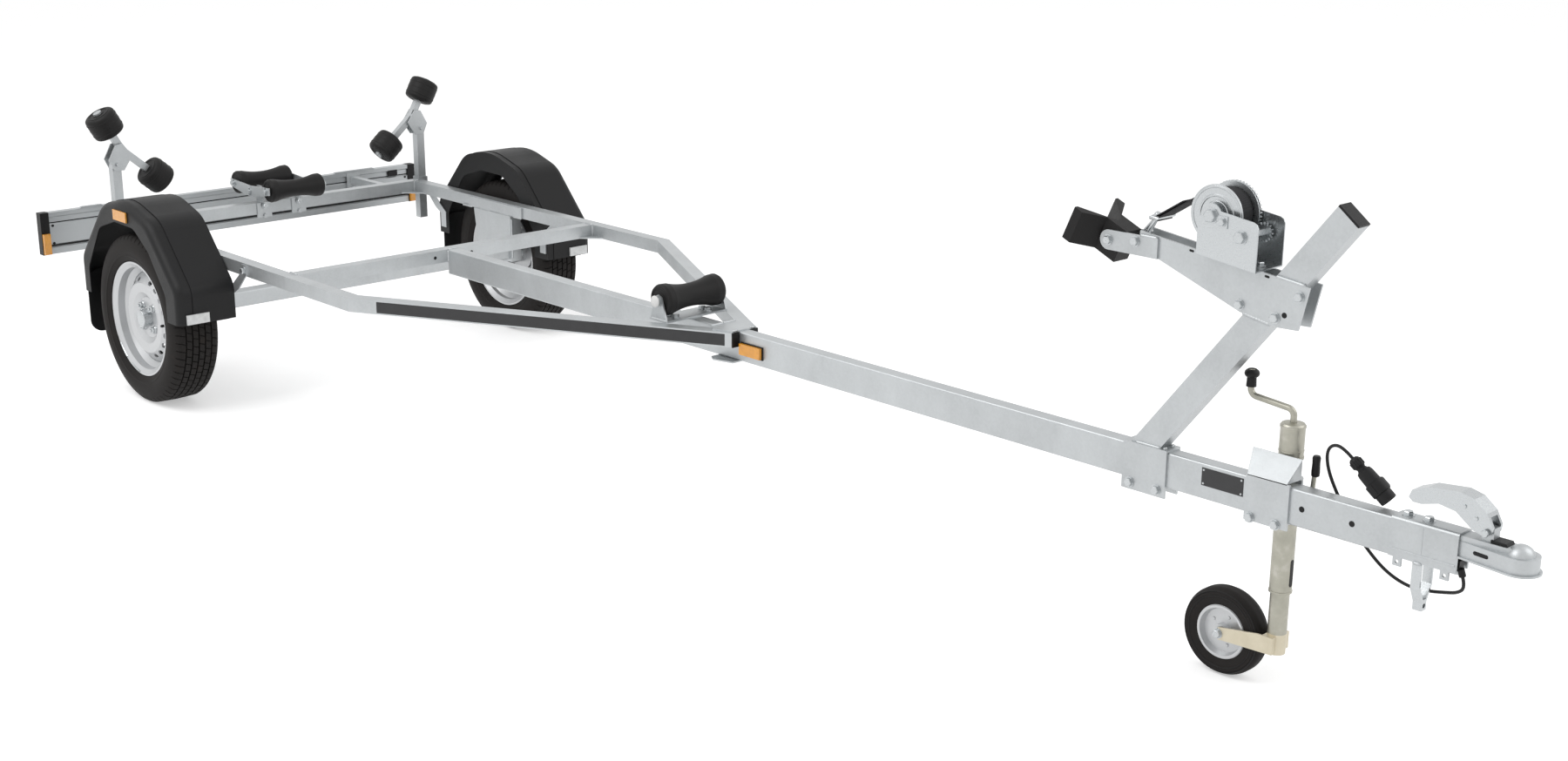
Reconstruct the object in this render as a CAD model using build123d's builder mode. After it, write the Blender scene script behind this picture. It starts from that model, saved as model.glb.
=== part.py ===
"""Boat trailer: drawbar frame with torsion axle, winch post, keel rollers and side rollers.

+X points forward to the coupling, +Y to the trailer's left side, +Z up. The ground is Z = 0
and the origin lies on it, under the middle of the trailer.
"""
import math
import os

from build123d import *

os.makedirs("parts", exist_ok=True)

# ---------------------------------------------------------------- driving dimensions, mm
FRAME_X = -1670.5           # station on the rails that the frame is measured from
AXLE_X = FRAME_X - 50.0     # wheel axis
TYRE_R = 270.0              # 155/70 R13
TYRE_W = 157.0
RIM_R = 182.5               # outside of the rim flanges
RIM_W = 132.0
TYRE_GAP = 17.5             # from the fender's inner wall to the tyre
FENDER_W = 187.0
FENDER_T = 4.0
STAY_T = 4.0                # straps between the rails and the fenders
FRAME_TOP = 490.0           # top of the drawbar, rails and crossmembers
BEAM_H = 80.0
BEAM_W = 40.0
RAIL = 40.0                 # square tube of rails and crossmembers
WALL = 3.0
PLATE = 5.0                 # bent and cut steel plate
RAIL_IN = 551.0             # inner face of the rails
FRONT_CROSS_X = FRAME_X + 585.0
REAR_CROSS_X = FRAME_X - 488.0
BEAM_FRONT_X = FRAME_X + 4010.0
RAIL_BEND_X = FRAME_X + 925.0
RAIL_ANGLE = 28.2           # of the slanted front part of the rails
FIT = 0.3                   # clearance between curved faces that meet
RUN = 0.06                  # radial running clearance at shafts

BEAM_BOTTOM = FRAME_TOP - BEAM_H
RAIL_OUT = RAIL_IN + RAIL
FENDER_IN = RAIL_OUT + STAY_T
FENDER_OUT = FENDER_IN + FENDER_W
WHEEL_Y = FENDER_IN + FENDER_T + TYRE_GAP + TYRE_W / 2      # wheel centre plane
RAIL_BOTTOM = FRAME_TOP - RAIL
SIDES = {"left": 1.0, "right": -1.0}


# ---------------------------------------------------------------- small building helpers
def block(x_range, y_range, z_range, mode=Mode.ADD):
    """A box between two limits along each axis."""
    limits = [sorted(pair) for pair in (x_range, y_range, z_range)]
    sizes = [high - low for low, high in limits]
    with Locations(tuple((low + high) / 2 for low, high in limits)):
        Box(*sizes, mode=mode)


def side_plate(outline, y_range, mode=Mode.ADD):
    """A flat plate standing along X, drawn by its (x, z) corners."""
    low, high = sorted(y_range)
    with BuildSketch(Plane.XZ.offset(-low)) as face:
        Polygon(*outline, align=None)
    extrude(face.sketch, amount=-(high - low), mode=mode)


def flat_plate(outline, z_range, mode=Mode.ADD):
    """A level plate, drawn by its (x, y) corners."""
    low, high = sorted(z_range)
    with BuildSketch(Plane.XY.offset(low)) as face:
        Polygon(*outline, align=None)
    extrude(face.sketch, amount=high - low, mode=mode)


def rod(start, end, radius, mode=Mode.ADD):
    """A round bar from one centre to another."""
    run = Vector(*end) - Vector(*start)
    with BuildSketch(Plane(origin=start, z_dir=run)) as face:
        Circle(radius)
    extrude(face.sketch, amount=run.length, mode=mode)


def cross_rod(x, z, y_range, radius, mode=Mode.ADD):
    """A round bar along Y."""
    low, high = sorted(y_range)
    rod((x, low, z), (x, high, z), radius, mode)


def finish(piece, label):
    """Names a finished piece and writes it."""
    piece.part.label = label
    export_step(piece.part, f"parts/{label}.step")


# ---------------------------------------------------------------- frame
RAIL_SLOPE = math.tan(math.radians(RAIL_ANGLE))
RAIL_SHIFT = RAIL / math.cos(math.radians(RAIL_ANGLE))
RAIL_BEND_OUT_X = RAIL_BEND_X + RAIL * math.tan(math.radians(RAIL_ANGLE / 2))
RAIL_NOSE_X = FRAME_X + 1952.0
BEAM_SIDE = BEAM_W / 2
POST = 30.0                 # square tube of the roller posts
SLEEVE = 38.0               # square sleeve welded in the frame's rear corner
POST_Y = RAIL_OUT - 2.0
POST_X = REAR_CROSS_X - SLEEVE / 2 + 2.0
SLEEVE_FRONT_X = POST_X + SLEEVE / 2
SLEEVE_IN_Y = POST_Y - SLEEVE / 2


def rail_outline(side, inset):
    """Plan outline of a rail; inset draws the hollow inside its walls."""
    bend = math.radians(RAIL_ANGLE)
    step = inset * math.tan(bend / 2)
    inner_y = RAIL_IN + inset
    outer_y = RAIL_OUT - inset
    inner_bend = RAIL_BEND_X + step
    outer_bend = RAIL_BEND_OUT_X - step
    beam_y = BEAM_SIDE + inset
    inner_meet = inner_bend + (inner_y - beam_y) / RAIL_SLOPE
    nose_x = RAIL_NOSE_X - inset
    nose_y = outer_y - (nose_x - outer_bend) * RAIL_SLOPE
    points = [(SLEEVE_FRONT_X + inset, inner_y), (inner_bend, inner_y), (inner_meet, beam_y)]
    points += [(nose_x, beam_y), (nose_x, nose_y), (outer_bend, outer_y)]
    points += [(SLEEVE_FRONT_X + inset, outer_y)]
    return [(x, side * y) for x, y in points]


with BuildPart() as drawbar:
    block((FRONT_CROSS_X, BEAM_FRONT_X), (-BEAM_SIDE, BEAM_SIDE), (BEAM_BOTTOM, FRAME_TOP))
    fillet(drawbar.edges().filter_by(Axis.X), radius=5)
    block((FRONT_CROSS_X, BEAM_FRONT_X), (-BEAM_SIDE + WALL, BEAM_SIDE - WALL),
          (BEAM_BOTTOM + WALL, FRAME_TOP - WALL), Mode.SUBTRACT)
finish(drawbar, "drawbar")

with BuildPart() as side_rails:
    for side in SIDES.values():
        flat_plate(rail_outline(side, 0), (RAIL_BOTTOM, FRAME_TOP))
        flat_plate(rail_outline(side, WALL), (RAIL_BOTTOM + WALL, FRAME_TOP - WALL), Mode.SUBTRACT)
finish(side_rails, "side_rails")

SLEEVE_DROP = 12.0          # how far the post sleeves reach past the tube, above and below
with BuildPart() as crossmembers:
    block((FRONT_CROSS_X - RAIL, FRONT_CROSS_X), (-RAIL_IN, RAIL_IN), (RAIL_BOTTOM, FRAME_TOP))
    block((FRONT_CROSS_X - RAIL + WALL, FRONT_CROSS_X - WALL), (-RAIL_IN, RAIL_IN),
          (RAIL_BOTTOM + WALL, FRAME_TOP - WALL), Mode.SUBTRACT)
    block((REAR_CROSS_X - RAIL, REAR_CROSS_X), (-SLEEVE_IN_Y, SLEEVE_IN_Y), (RAIL_BOTTOM, FRAME_TOP))
    block((REAR_CROSS_X - RAIL + WALL, REAR_CROSS_X - WALL), (-SLEEVE_IN_Y, SLEEVE_IN_Y),
          (RAIL_BOTTOM + WALL, FRAME_TOP - WALL), Mode.SUBTRACT)
    for side in SIDES.values():
        low_y, high_y = side * SLEEVE_IN_Y, side * (SLEEVE_IN_Y + SLEEVE)
        block((POST_X - SLEEVE / 2, SLEEVE_FRONT_X), (low_y, high_y),
              (RAIL_BOTTOM - SLEEVE_DROP, FRAME_TOP + SLEEVE_DROP))
        block((POST_X - POST / 2 - FIT, POST_X + POST / 2 + FIT),
              (side * POST_Y - POST / 2 - FIT, side * POST_Y + POST / 2 + FIT),
              (RAIL_BOTTOM - SLEEVE_DROP, FRAME_TOP + SLEEVE_DROP), Mode.SUBTRACT)
finish(crossmembers, "crossmembers")

NOSE_BACK_X = FRAME_X + 1868.0
GUSSET_T = 4.0
# plates over and under the nose, and in the corners where the rails meet the crossmembers
CORNER = 55.0
with BuildPart() as gusset_plates:
    for low in (FRAME_TOP, BEAM_BOTTOM - GUSSET_T):
        flat_plate([(NOSE_BACK_X + 22, -58), (NOSE_BACK_X, -44), (NOSE_BACK_X, 44), (NOSE_BACK_X + 22, 58),
                    (RAIL_NOSE_X, 42), (RAIL_NOSE_X, -42)], (low, low + GUSSET_T))
    for side in SIDES.values():
        flat_plate([(REAR_CROSS_X, side * RAIL_IN), (REAR_CROSS_X + CORNER, side * RAIL_IN),
                    (REAR_CROSS_X, side * (RAIL_IN - CORNER))], (RAIL_BOTTOM, RAIL_BOTTOM + GUSSET_T))
        flat_plate([(FRONT_CROSS_X, side * RAIL_IN), (FRONT_CROSS_X + CORNER, side * RAIL_IN),
                    (FRONT_CROSS_X, side * (RAIL_IN - CORNER))], (RAIL_BOTTOM, RAIL_BOTTOM + GUSSET_T))
finish(gusset_plates, "gusset_plates")

# ---------------------------------------------------------------- torsion axle
AXLE_TUBE = 50.0
AXLE_TUBE_X = FRAME_X + 95.0
AXLE_TUBE_Z = 321.0
HANGER_Y = 541.0            # inner face of the hanger webs
HANGER_X = (FRAME_X - 90.0, FRAME_X + 130.0)
ARM_Y = 594.0               # inner face of the trailing arms
ARM_T = 16.0
SPINDLE_R = 15.0
ARM_PIVOT_R = 22.0

with BuildPart() as axle_beam:
    block((AXLE_TUBE_X - AXLE_TUBE / 2, AXLE_TUBE_X + AXLE_TUBE / 2), (-HANGER_Y, HANGER_Y),
          (AXLE_TUBE_Z - AXLE_TUBE / 2, AXLE_TUBE_Z + AXLE_TUBE / 2))
    fillet(axle_beam.edges().filter_by(Axis.Y), radius=6)
    block((AXLE_TUBE_X - AXLE_TUBE / 2 + WALL, AXLE_TUBE_X + AXLE_TUBE / 2 - WALL), (-HANGER_Y, HANGER_Y),
          (AXLE_TUBE_Z - AXLE_TUBE / 2 + WALL, AXLE_TUBE_Z + AXLE_TUBE / 2 - WALL), Mode.SUBTRACT)
finish(axle_beam, "axle_beam")

with BuildPart() as axle_hangers:
    for side in SIDES.values():
        web = (side * HANGER_Y, side * (HANGER_Y + PLATE))
        deep = (side * HANGER_Y, side * (RAIL_OUT - 6))
        low = AXLE_TUBE_Z - AXLE_TUBE / 2 - 8
        side_plate([(HANGER_X[0], RAIL_BOTTOM), (HANGER_X[0] + 25, low), (HANGER_X[1], low),
                    (HANGER_X[1], RAIL_BOTTOM)], web)
        block((HANGER_X[1] - PLATE, HANGER_X[1]), deep, (low, RAIL_BOTTOM))
        side_plate([(HANGER_X[0], RAIL_BOTTOM), (HANGER_X[0] + 25, low), (HANGER_X[0] + 31, low),
                    (HANGER_X[0] + 6, RAIL_BOTTOM)], deep)
        block((HANGER_X[0] - 40, HANGER_X[1] + 60), (side * (RAIL_IN - PLATE), side * RAIL_IN),
              (RAIL_BOTTOM, FRAME_TOP - 3))
        block((HANGER_X[0], HANGER_X[1]), (side * (RAIL_IN - PLATE), side * (RAIL_OUT - 6)),
              (RAIL_BOTTOM - PLATE, RAIL_BOTTOM))
finish(axle_hangers, "axle_hangers")

with BuildPart() as axle_arms:
    for side in SIDES.values():
        cross_rod(AXLE_TUBE_X, AXLE_TUBE_Z, (side * (HANGER_Y + PLATE), side * ARM_Y), ARM_PIVOT_R)
        plane = Plane(origin=(0, side * ARM_Y, 0), x_dir=(1, 0, 0), z_dir=(0, side, 0))
        with BuildSketch(plane):
            with Locations((AXLE_TUBE_X, -side * AXLE_TUBE_Z), (AXLE_X, -side * TYRE_R)):
                Circle(32)
            make_hull()
        extrude(amount=ARM_T)
        cross_rod(AXLE_X, TYRE_R, (side * (ARM_Y + ARM_T), side * (WHEEL_Y + 20)), SPINDLE_R)
finish(axle_arms, "axle_arms")


# ---------------------------------------------------------------- road wheels
FLANGE_H = 14.5             # from the rim's seat up to its outside
SEAT_GAP = 0.6              # between the rim's seat and the tyre's bead
RIM_SEAT_R = RIM_R - FLANGE_H
BEAD_R = RIM_SEAT_R + SEAT_GAP
WELL_R = RIM_SEAT_R - 18.0
BULGE_R = RIM_R + 39.5      # where the sidewall stands out most
DISC_W = 26.0               # outer face of the hub flange from the wheel's centre plane
DISC_T = 4.0
BOLT_CIRCLE = 98.0
BOLT_R = 6.0
VENT_CIRCLE = 270.0
TREAD_GROOVES = (-42.0, -21.0, 0.0, 21.0, 42.0)


def wheel_plane(side, x=AXLE_X, y=WHEEL_Y, z=TYRE_R):
    """Half-section plane of a wheel: local x is the radius, local y points outwards."""
    return Plane(origin=(x, side * y, z), x_dir=(0, 0, 1), z_dir=(-side, 0, 0))


def spin_axis(x, z):
    """A wheel or roller axis along Y."""
    return Axis((x, 0, z), (0, 1, 0))


for name, side in SIDES.items():
    with BuildPart() as tyre:
        with BuildSketch(wheel_plane(side)) as section:
            with BuildLine():
                half = TYRE_W / 2
                bead = RIM_W / 2
                Polyline((BEAD_R, bead - 22), (BEAD_R, bead - 12.6), (BEAD_R + 3.5, bead - 9),
                         (RIM_R + 0.8, bead - 4.8), (RIM_R + 3, bead + 2))
                ThreePointArc((RIM_R + 3, bead + 2), (BULGE_R, half), (TYRE_R - 12, half - 10))
                Line((TYRE_R - 12, half - 10), (TYRE_R - 2, half - 22))
                Polyline((TYRE_R - 2, half - 22), (TYRE_R, 0), (TYRE_R - 2, 22 - half))
                Line((TYRE_R - 2, 22 - half), (TYRE_R - 12, 10 - half))
                ThreePointArc((TYRE_R - 12, 10 - half), (BULGE_R, -half), (RIM_R + 3, -bead - 2))
                Polyline((RIM_R + 3, -bead - 2), (RIM_R + 0.8, 4.8 - bead), (BEAD_R + 3.5, 9 - bead),
                         (BEAD_R, 12.6 - bead), (BEAD_R, 22 - bead), (RIM_R + 7.5, 24.5 - half),
                         (BULGE_R + 3, 12.5 - half), (TYRE_R - 16, 24.5 - half), (TYRE_R - 16, half - 24.5),
                         (BULGE_R + 3, half - 12.5), (RIM_R + 7.5, half - 24.5), (BEAD_R, bead - 22))
            make_face()
            for groove in TREAD_GROOVES:
                with Locations((TYRE_R, groove)):
                    Rectangle(14, 4, mode=Mode.SUBTRACT)
        revolve(axis=spin_axis(AXLE_X, TYRE_R))
    finish(tyre, f"tyre_{name}")

    with BuildPart() as rim:
        with BuildSketch(wheel_plane(side)) as section:
            with BuildLine():
                half = RIM_W / 2
                Polyline((RIM_R, half), (RIM_R, half - 4), (RIM_SEAT_R + 4, half - 8), (RIM_SEAT_R, half - 12),
                         (RIM_SEAT_R - 2, half - 36), (WELL_R, half - 50), (WELL_R, 42 - half),
                         (RIM_SEAT_R - 2, 26 - half), (RIM_SEAT_R, 12 - half), (RIM_SEAT_R + 4, 8 - half),
                         (RIM_R, 4 - half), (RIM_R, -half), (RIM_R - 6, -half), (RIM_SEAT_R - 5, 10 - half),
                         (RIM_SEAT_R - 6, 24 - half), (WELL_R - DISC_T, 39 - half), (WELL_R - DISC_T, half - 47),
                         (RIM_SEAT_R - 6, half - 33), (RIM_SEAT_R - 5, half - 10), (RIM_R - 6, half),
                         close=True)
            make_face()
        revolve(axis=spin_axis(AXLE_X, TYRE_R))
        with BuildSketch(wheel_plane(side)) as section:
            Polygon((30, DISC_W), (66, DISC_W), (84, DISC_W + 12), (110, DISC_W + 14),
                    (WELL_R - 18, DISC_W - 4), (WELL_R - 3.5, DISC_W - 14), (WELL_R - 3.5, DISC_W - 10),
                    (WELL_R - 16, DISC_W + 2), (112, DISC_W + 19),
                    (82, DISC_W + 17), (64, DISC_W + 5), (30, DISC_W + 5), align=None)
        revolve(axis=spin_axis(AXLE_X, TYRE_R))
        outward = Plane(origin=(AXLE_X, side * WHEEL_Y, TYRE_R), x_dir=(1, 0, 0), z_dir=(0, side, 0))
        with BuildSketch(outward):
            for quarter in range(4):
                with PolarLocations(VENT_CIRCLE / 2 - 12, 4, start_angle=quarter * 90 + 18, angular_range=72):
                    SlotOverall(20, 12, rotation=90)
        extrude(amount=60, mode=Mode.SUBTRACT)
        with BuildSketch(outward):
            with PolarLocations(BOLT_CIRCLE / 2, 4, start_angle=45):
                Circle(BOLT_R + 0.5)
        extrude(amount=60, mode=Mode.SUBTRACT)
    finish(rim, f"rim_{name}")

    with BuildPart() as hub:
        inner_face = ARM_Y + ARM_T + 6
        cross_rod(AXLE_X, TYRE_R, (side * inner_face, side * (WHEEL_Y + DISC_W)), 34)
        cross_rod(AXLE_X, TYRE_R, (side * (WHEEL_Y + DISC_W - 10), side * (WHEEL_Y + DISC_W)), 64)
        cross_rod(AXLE_X, TYRE_R, (side * (WHEEL_Y + DISC_W), side * (WHEEL_Y + DISC_W + 34)), 28)
        with BuildSketch(outward.offset(DISC_W)):
            with PolarLocations(BOLT_CIRCLE / 2, 4, start_angle=45):
                Circle(BOLT_R)
        extrude(amount=6)
        with BuildSketch(outward.offset(DISC_W + 5)):
            with PolarLocations(BOLT_CIRCLE / 2, 4, start_angle=45):
                RegularPolygon(9.5, 6)
        extrude(amount=10)
        cross_rod(AXLE_X, TYRE_R, (side * inner_face, side * (WHEEL_Y + 21)), SPINDLE_R + RUN, Mode.SUBTRACT)
    finish(hub, f"hub_{name}")

# ---------------------------------------------------------------- fenders
FENDER_LOW = 309.0
FENDER_FRONT = 323.0        # from the wheel axis to the front face
FENDER_REAR = 342.0         # from the wheel axis to the rear face
FENDER_TOP = 650.0          # corner of the crown's outline before it is rounded
FENDER_EDGE = 26.0          # rounding of the long outer edge
RIDGE_T = 2.0               # raised middle band of the crown
RIDGE_Y = (FENDER_IN + 24.0, FENDER_OUT - 47.0)
ARCH_RADII = (60, 120, 250, 120, 60)
OPENING_RADII = (50, 60, 60, 60, 50, 50)
STAY_BOLTS = (AXLE_X + FENDER_FRONT - 25.0, AXLE_X - FENDER_REAR + 28.0)
STAY_BOLT_Z = FENDER_LOW + 36.0
STAY_BOLT_R = 5.0
fender_arch = [(AXLE_X + x, z) for x, z in
               ((-FENDER_REAR, FENDER_LOW - 20), (-FENDER_REAR, 430), (-165, FENDER_TOP - 30),
                (-10, FENDER_TOP), (150, FENDER_TOP - 48), (FENDER_FRONT, 416),
                (FENDER_FRONT, FENDER_LOW - 20))]
fender_opening = [(AXLE_X + x, z) for x, z in
                  ((57 - FENDER_REAR, FENDER_LOW - 20), (57 - FENDER_REAR, 395), (-180, 540),
                   (-70, FENDER_TOP - 76), (60, FENDER_TOP - 78), (150, 512), (FENDER_FRONT - 79, 392),
                   (FENDER_FRONT - 79, FENDER_LOW - 20))]


def arch_form(points, radii, inset, y_range, edge_r=0.0):
    """A solid across a span of Y under a rounded arch, drawn in by inset, its outer edge rounded."""
    low, high = sorted(y_range)
    with BuildPart() as form:
        with BuildSketch(Plane.XZ.offset(-low)) as face:
            with BuildLine():
                FilletPolyline(*points, radius=list(radii))
                Line(points[-1], points[0])
            make_face()
            if inset:
                offset(amount=-inset, kind=Kind.INTERSECTION)
        extrude(amount=-(high - low))
        if edge_r:
            skin = form.faces().filter_by(Axis.Y).sort_by(lambda found: abs(found.center().Y))[-1]
            fillet(skin.edges().filter_by(lambda edge: edge.center().Z > FENDER_LOW), radius=edge_r)
    return form.part


with BuildPart() as fenders:
    for side in SIDES.values():
        hollow_y = (side * (FENDER_IN + FENDER_T), side * (FENDER_OUT - FENDER_T))
        add(arch_form(fender_arch, ARCH_RADII, 0, (side * FENDER_IN, side * FENDER_OUT), FENDER_EDGE))
        add(arch_form(fender_arch, ARCH_RADII, -RIDGE_T, [side * y for y in RIDGE_Y]))
        add(arch_form(fender_arch, ARCH_RADII, FENDER_T, hollow_y, FENDER_EDGE - FENDER_T), mode=Mode.SUBTRACT)
        add(arch_form(fender_opening, OPENING_RADII, 0, (side * (FENDER_IN - 1), side * (FENDER_OUT + 1))),
            mode=Mode.SUBTRACT)
        block((AXLE_X - FENDER_REAR - 10, AXLE_X + FENDER_FRONT + 10),
              (side * (FENDER_IN - 1), side * (FENDER_OUT + 1)), (FENDER_LOW - 40, FENDER_LOW), Mode.SUBTRACT)
        wall_y = (side * (FENDER_IN - 1), side * (FENDER_IN + FENDER_T + 1))
        for bolt_x in STAY_BOLTS:
            cross_rod(bolt_x, STAY_BOLT_Z, wall_y, STAY_BOLT_R + FIT, Mode.SUBTRACT)
finish(fenders, "fenders")

# flat straps from the outer faces of the rails to the fenders' inner walls, front and rear
with BuildPart() as fender_stays:
    for side in SIDES.values():
        strap_y = (side * RAIL_OUT, side * FENDER_IN)
        for bolt_x, aim in zip(STAY_BOLTS, (1, -1)):
            side_plate([(bolt_x + aim * x, z) for x, z in
                        ((80, FRAME_TOP - 4), (108, FRAME_TOP - 4), (108, RAIL_BOTTOM + 6),
                         (52, RAIL_BOTTOM - 48), (16, STAY_BOLT_Z + 36), (16, STAY_BOLT_Z - 14),
                         (-16, STAY_BOLT_Z - 14), (-16, STAY_BOLT_Z + 44), (26, RAIL_BOTTOM - 30),
                         (80, RAIL_BOTTOM + 14))], strap_y)
            cross_rod(bolt_x, STAY_BOLT_Z, (side * FENDER_IN, side * (FENDER_IN + FENDER_T)), STAY_BOLT_R)
            cross_rod(bolt_x, STAY_BOLT_Z, (side * (FENDER_IN + FENDER_T), side * (FENDER_IN + FENDER_T + 5)),
                      2 * STAY_BOLT_R)
finish(fender_stays, "fender_stays")

FLAP_T = 4.0
FLAP_X = AXLE_X - FENDER_REAR + FENDER_T + 10.0
FLAP_TOP = 385.0
FLAP_BOTTOM = 165.0
FLAP_CORNER = 40.0
with BuildPart() as mudflaps:
    for side in SIDES.values():
        flap_in = side * (FENDER_IN + FENDER_T + FIT)
        flap_out = side * (FENDER_OUT - FENDER_T - 4)
        with BuildSketch(Plane.YZ.offset(FLAP_X)) as face:
            Polygon((flap_in, FLAP_TOP - 25), (flap_in, FLAP_BOTTOM), (flap_out, FLAP_BOTTOM),
                    (flap_out, FLAP_TOP - 25), (flap_out - side * 40, FLAP_TOP - 10),
                    (flap_in + side * 40, FLAP_TOP - 10), align=None)
            fillet(face.vertices().group_by(Axis.Y)[0], radius=FLAP_CORNER)
        extrude(amount=FLAP_T)
finish(mudflaps, "mudflaps")

REFLECTOR_Y = (FENDER_OUT - 96.0, FENDER_OUT - 23.0)
REFLECTOR_H = 30.0
REFLECTOR_X = AXLE_X + FENDER_FRONT + RIDGE_T
with BuildPart() as front_reflectors:
    for side in SIDES.values():
        block((REFLECTOR_X, REFLECTOR_X + 6), [side * y for y in REFLECTOR_Y],
              (FENDER_LOW + 3, FENDER_LOW + 3 + REFLECTOR_H))
finish(front_reflectors, "front_reflectors")

# ---------------------------------------------------------------- side rollers
POST_TOP = 700.0
POST_BOTTOM = 349.0
PIVOT_Y = POST_Y
PIVOT_Z = 684.0
PIVOT_R = 6.0
KNEE = (562.0, 728.0)       # bend of the rocker arm, as (y, z)
ROLLER_R = 52.0
ROLLER_L = 78.0
AXLE_PIN_R = 8.0
ARM_TUBE = 22.0
UPPER_ROLLER = (612.0, 818.0)
LOWER_ROLLER = (449.0, 630.0)

with BuildPart() as side_posts:
    for side in SIDES.values():
        y = side * POST_Y
        block((POST_X - POST / 2, POST_X + POST / 2), (y - POST / 2, y + POST / 2), (POST_BOTTOM, POST_TOP))
        block((POST_X - POST / 2 + WALL, POST_X + POST / 2 - WALL), (y - POST / 2 + WALL, y + POST / 2 - WALL),
              (POST_BOTTOM, POST_TOP), Mode.SUBTRACT)
        rod((POST_X - POST, y, PIVOT_Z), (POST_X + POST, y, PIVOT_Z), PIVOT_R + RUN, Mode.SUBTRACT)
finish(side_posts, "side_posts")


def arm_run(side, target):
    """Ends and direction of one straight stretch of the rocker arm, from the knee to a roller."""
    start = Vector(POST_X, side * KNEE[0], KNEE[1])
    centre = Vector(POST_X, side * target[0], target[1])
    direction = (centre - start).normalized()
    return start, centre, direction


for name, side in SIDES.items():
    with BuildPart() as rocker:
        for target in (UPPER_ROLLER, LOWER_ROLLER):
            start, centre, direction = arm_run(side, target)
            end = centre - direction * (ROLLER_L / 2 + 2)
            with BuildSketch(Plane(origin=start, x_dir=(1, 0, 0), z_dir=direction)) as face:
                Rectangle(ARM_TUBE, ARM_TUBE)
            extrude(amount=(end - start).length)
            rod(tuple(end - direction), tuple(centre + direction * (ROLLER_L / 2 + 6)), AXLE_PIN_R)
            washer = (centre + direction * (ROLLER_L / 2 + 1), centre + direction * (ROLLER_L / 2 + 7))
            rod(*washer, 14)
        for low_x in (POST_X - POST / 2 - PLATE - FIT, POST_X + POST / 2 + FIT):
            with BuildSketch(Plane.YZ.offset(low_x)) as face:
                Polygon((side * 616, 700), (side * 590, 748), (side * 566, 752), (side * 534, 708),
                        (side * 566, 662), (side * 600, 664), align=None)
            extrude(amount=PLATE)
        inner = (POST_X - POST / 2 - FIT, POST_X + POST / 2 + FIT)
        rod((inner[0], side * KNEE[0], KNEE[1]), (inner[1], side * KNEE[0], KNEE[1]), ARM_TUBE / 2)
        rod((inner[0] - 12, side * PIVOT_Y, PIVOT_Z), (inner[1] + 12, side * PIVOT_Y, PIVOT_Z), PIVOT_R)
    finish(rocker, f"rocker_{name}")

    for place, target in (("upper", UPPER_ROLLER), ("lower", LOWER_ROLLER)):
        start, centre, direction = arm_run(side, target)
        with BuildPart() as side_roller:
            with BuildSketch(Plane(origin=centre, x_dir=(1, 0, 0), z_dir=(0, -direction.Z, direction.Y))):
                with BuildLine():
                    half = ROLLER_L / 2
                    Line((AXLE_PIN_R + RUN, -half), (AXLE_PIN_R + RUN, half))
                    Line((AXLE_PIN_R + RUN, half), (ROLLER_R - 12, half))
                    ThreePointArc((ROLLER_R - 12, half), (ROLLER_R - 4, half - 4), (ROLLER_R - 1, half - 12))
                    ThreePointArc((ROLLER_R - 1, half - 12), (ROLLER_R, 0), (ROLLER_R - 1, 12 - half))
                    ThreePointArc((ROLLER_R - 1, 12 - half), (ROLLER_R - 4, 4 - half), (ROLLER_R - 12, -half))
                    Line((ROLLER_R - 12, -half), (AXLE_PIN_R + RUN, -half))
                make_face()
            revolve(axis=Axis(tuple(centre), tuple(direction)))
        finish(side_roller, f"side_roller_{place}_{name}")


# ---------------------------------------------------------------- keel rollers
KEEL_L = 200.0
KEEL_END_R = 44.0
KEEL_WAIST_R = 32.0
KEEL_PIN_R = 8.0
SWING_X = REAR_CROSS_X - 12.0
SWING_Z = 532.0
SWING_REACH = 112.0
SWING_ROLLER_Z = 547.0
SWING_Y = KEEL_L / 2 + 6.0
NOSE_ROLLER_X = FRAME_X + 1725.0
NOSE_ROLLER_Z = 547.0


def keel_roller_section(x, z, end_r, waist_r):
    """Half-section of a waisted keel roller about an axle along Y."""
    half = KEEL_L / 2
    with BuildSketch(wheel_plane(1, x, 0, z)) as face:
        with BuildLine():
            Line((KEEL_PIN_R + RUN, -half), (KEEL_PIN_R + RUN, half))
            Line((KEEL_PIN_R + RUN, half), (end_r - 3, half))
            Line((end_r - 3, half), (end_r, half - 6))
            Line((end_r, half - 6), (end_r - 1, half - 24))
            ThreePointArc((end_r - 1, half - 24), (waist_r, 0), (end_r - 1, 24 - half))
            Line((end_r - 1, 24 - half), (end_r, 6 - half))
            Line((end_r, 6 - half), (end_r - 3, -half))
            Line((end_r - 3, -half), (KEEL_PIN_R + RUN, -half))
        make_face()
    return face.sketch


KEEL_ROLLERS = {"keel_roller_front": (SWING_X + SWING_REACH, SWING_ROLLER_Z, 40.0, 29.0),
                "keel_roller_rear": (SWING_X - SWING_REACH, SWING_ROLLER_Z, 40.0, 29.0),
                "nose_roller": (NOSE_ROLLER_X, NOSE_ROLLER_Z, KEEL_END_R, KEEL_WAIST_R)}
for name, (x, z, end_r, waist_r) in KEEL_ROLLERS.items():
    with BuildPart() as keel_roller:
        revolve(keel_roller_section(x, z, end_r, waist_r), axis=spin_axis(x, z))
    finish(keel_roller, name)

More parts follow.
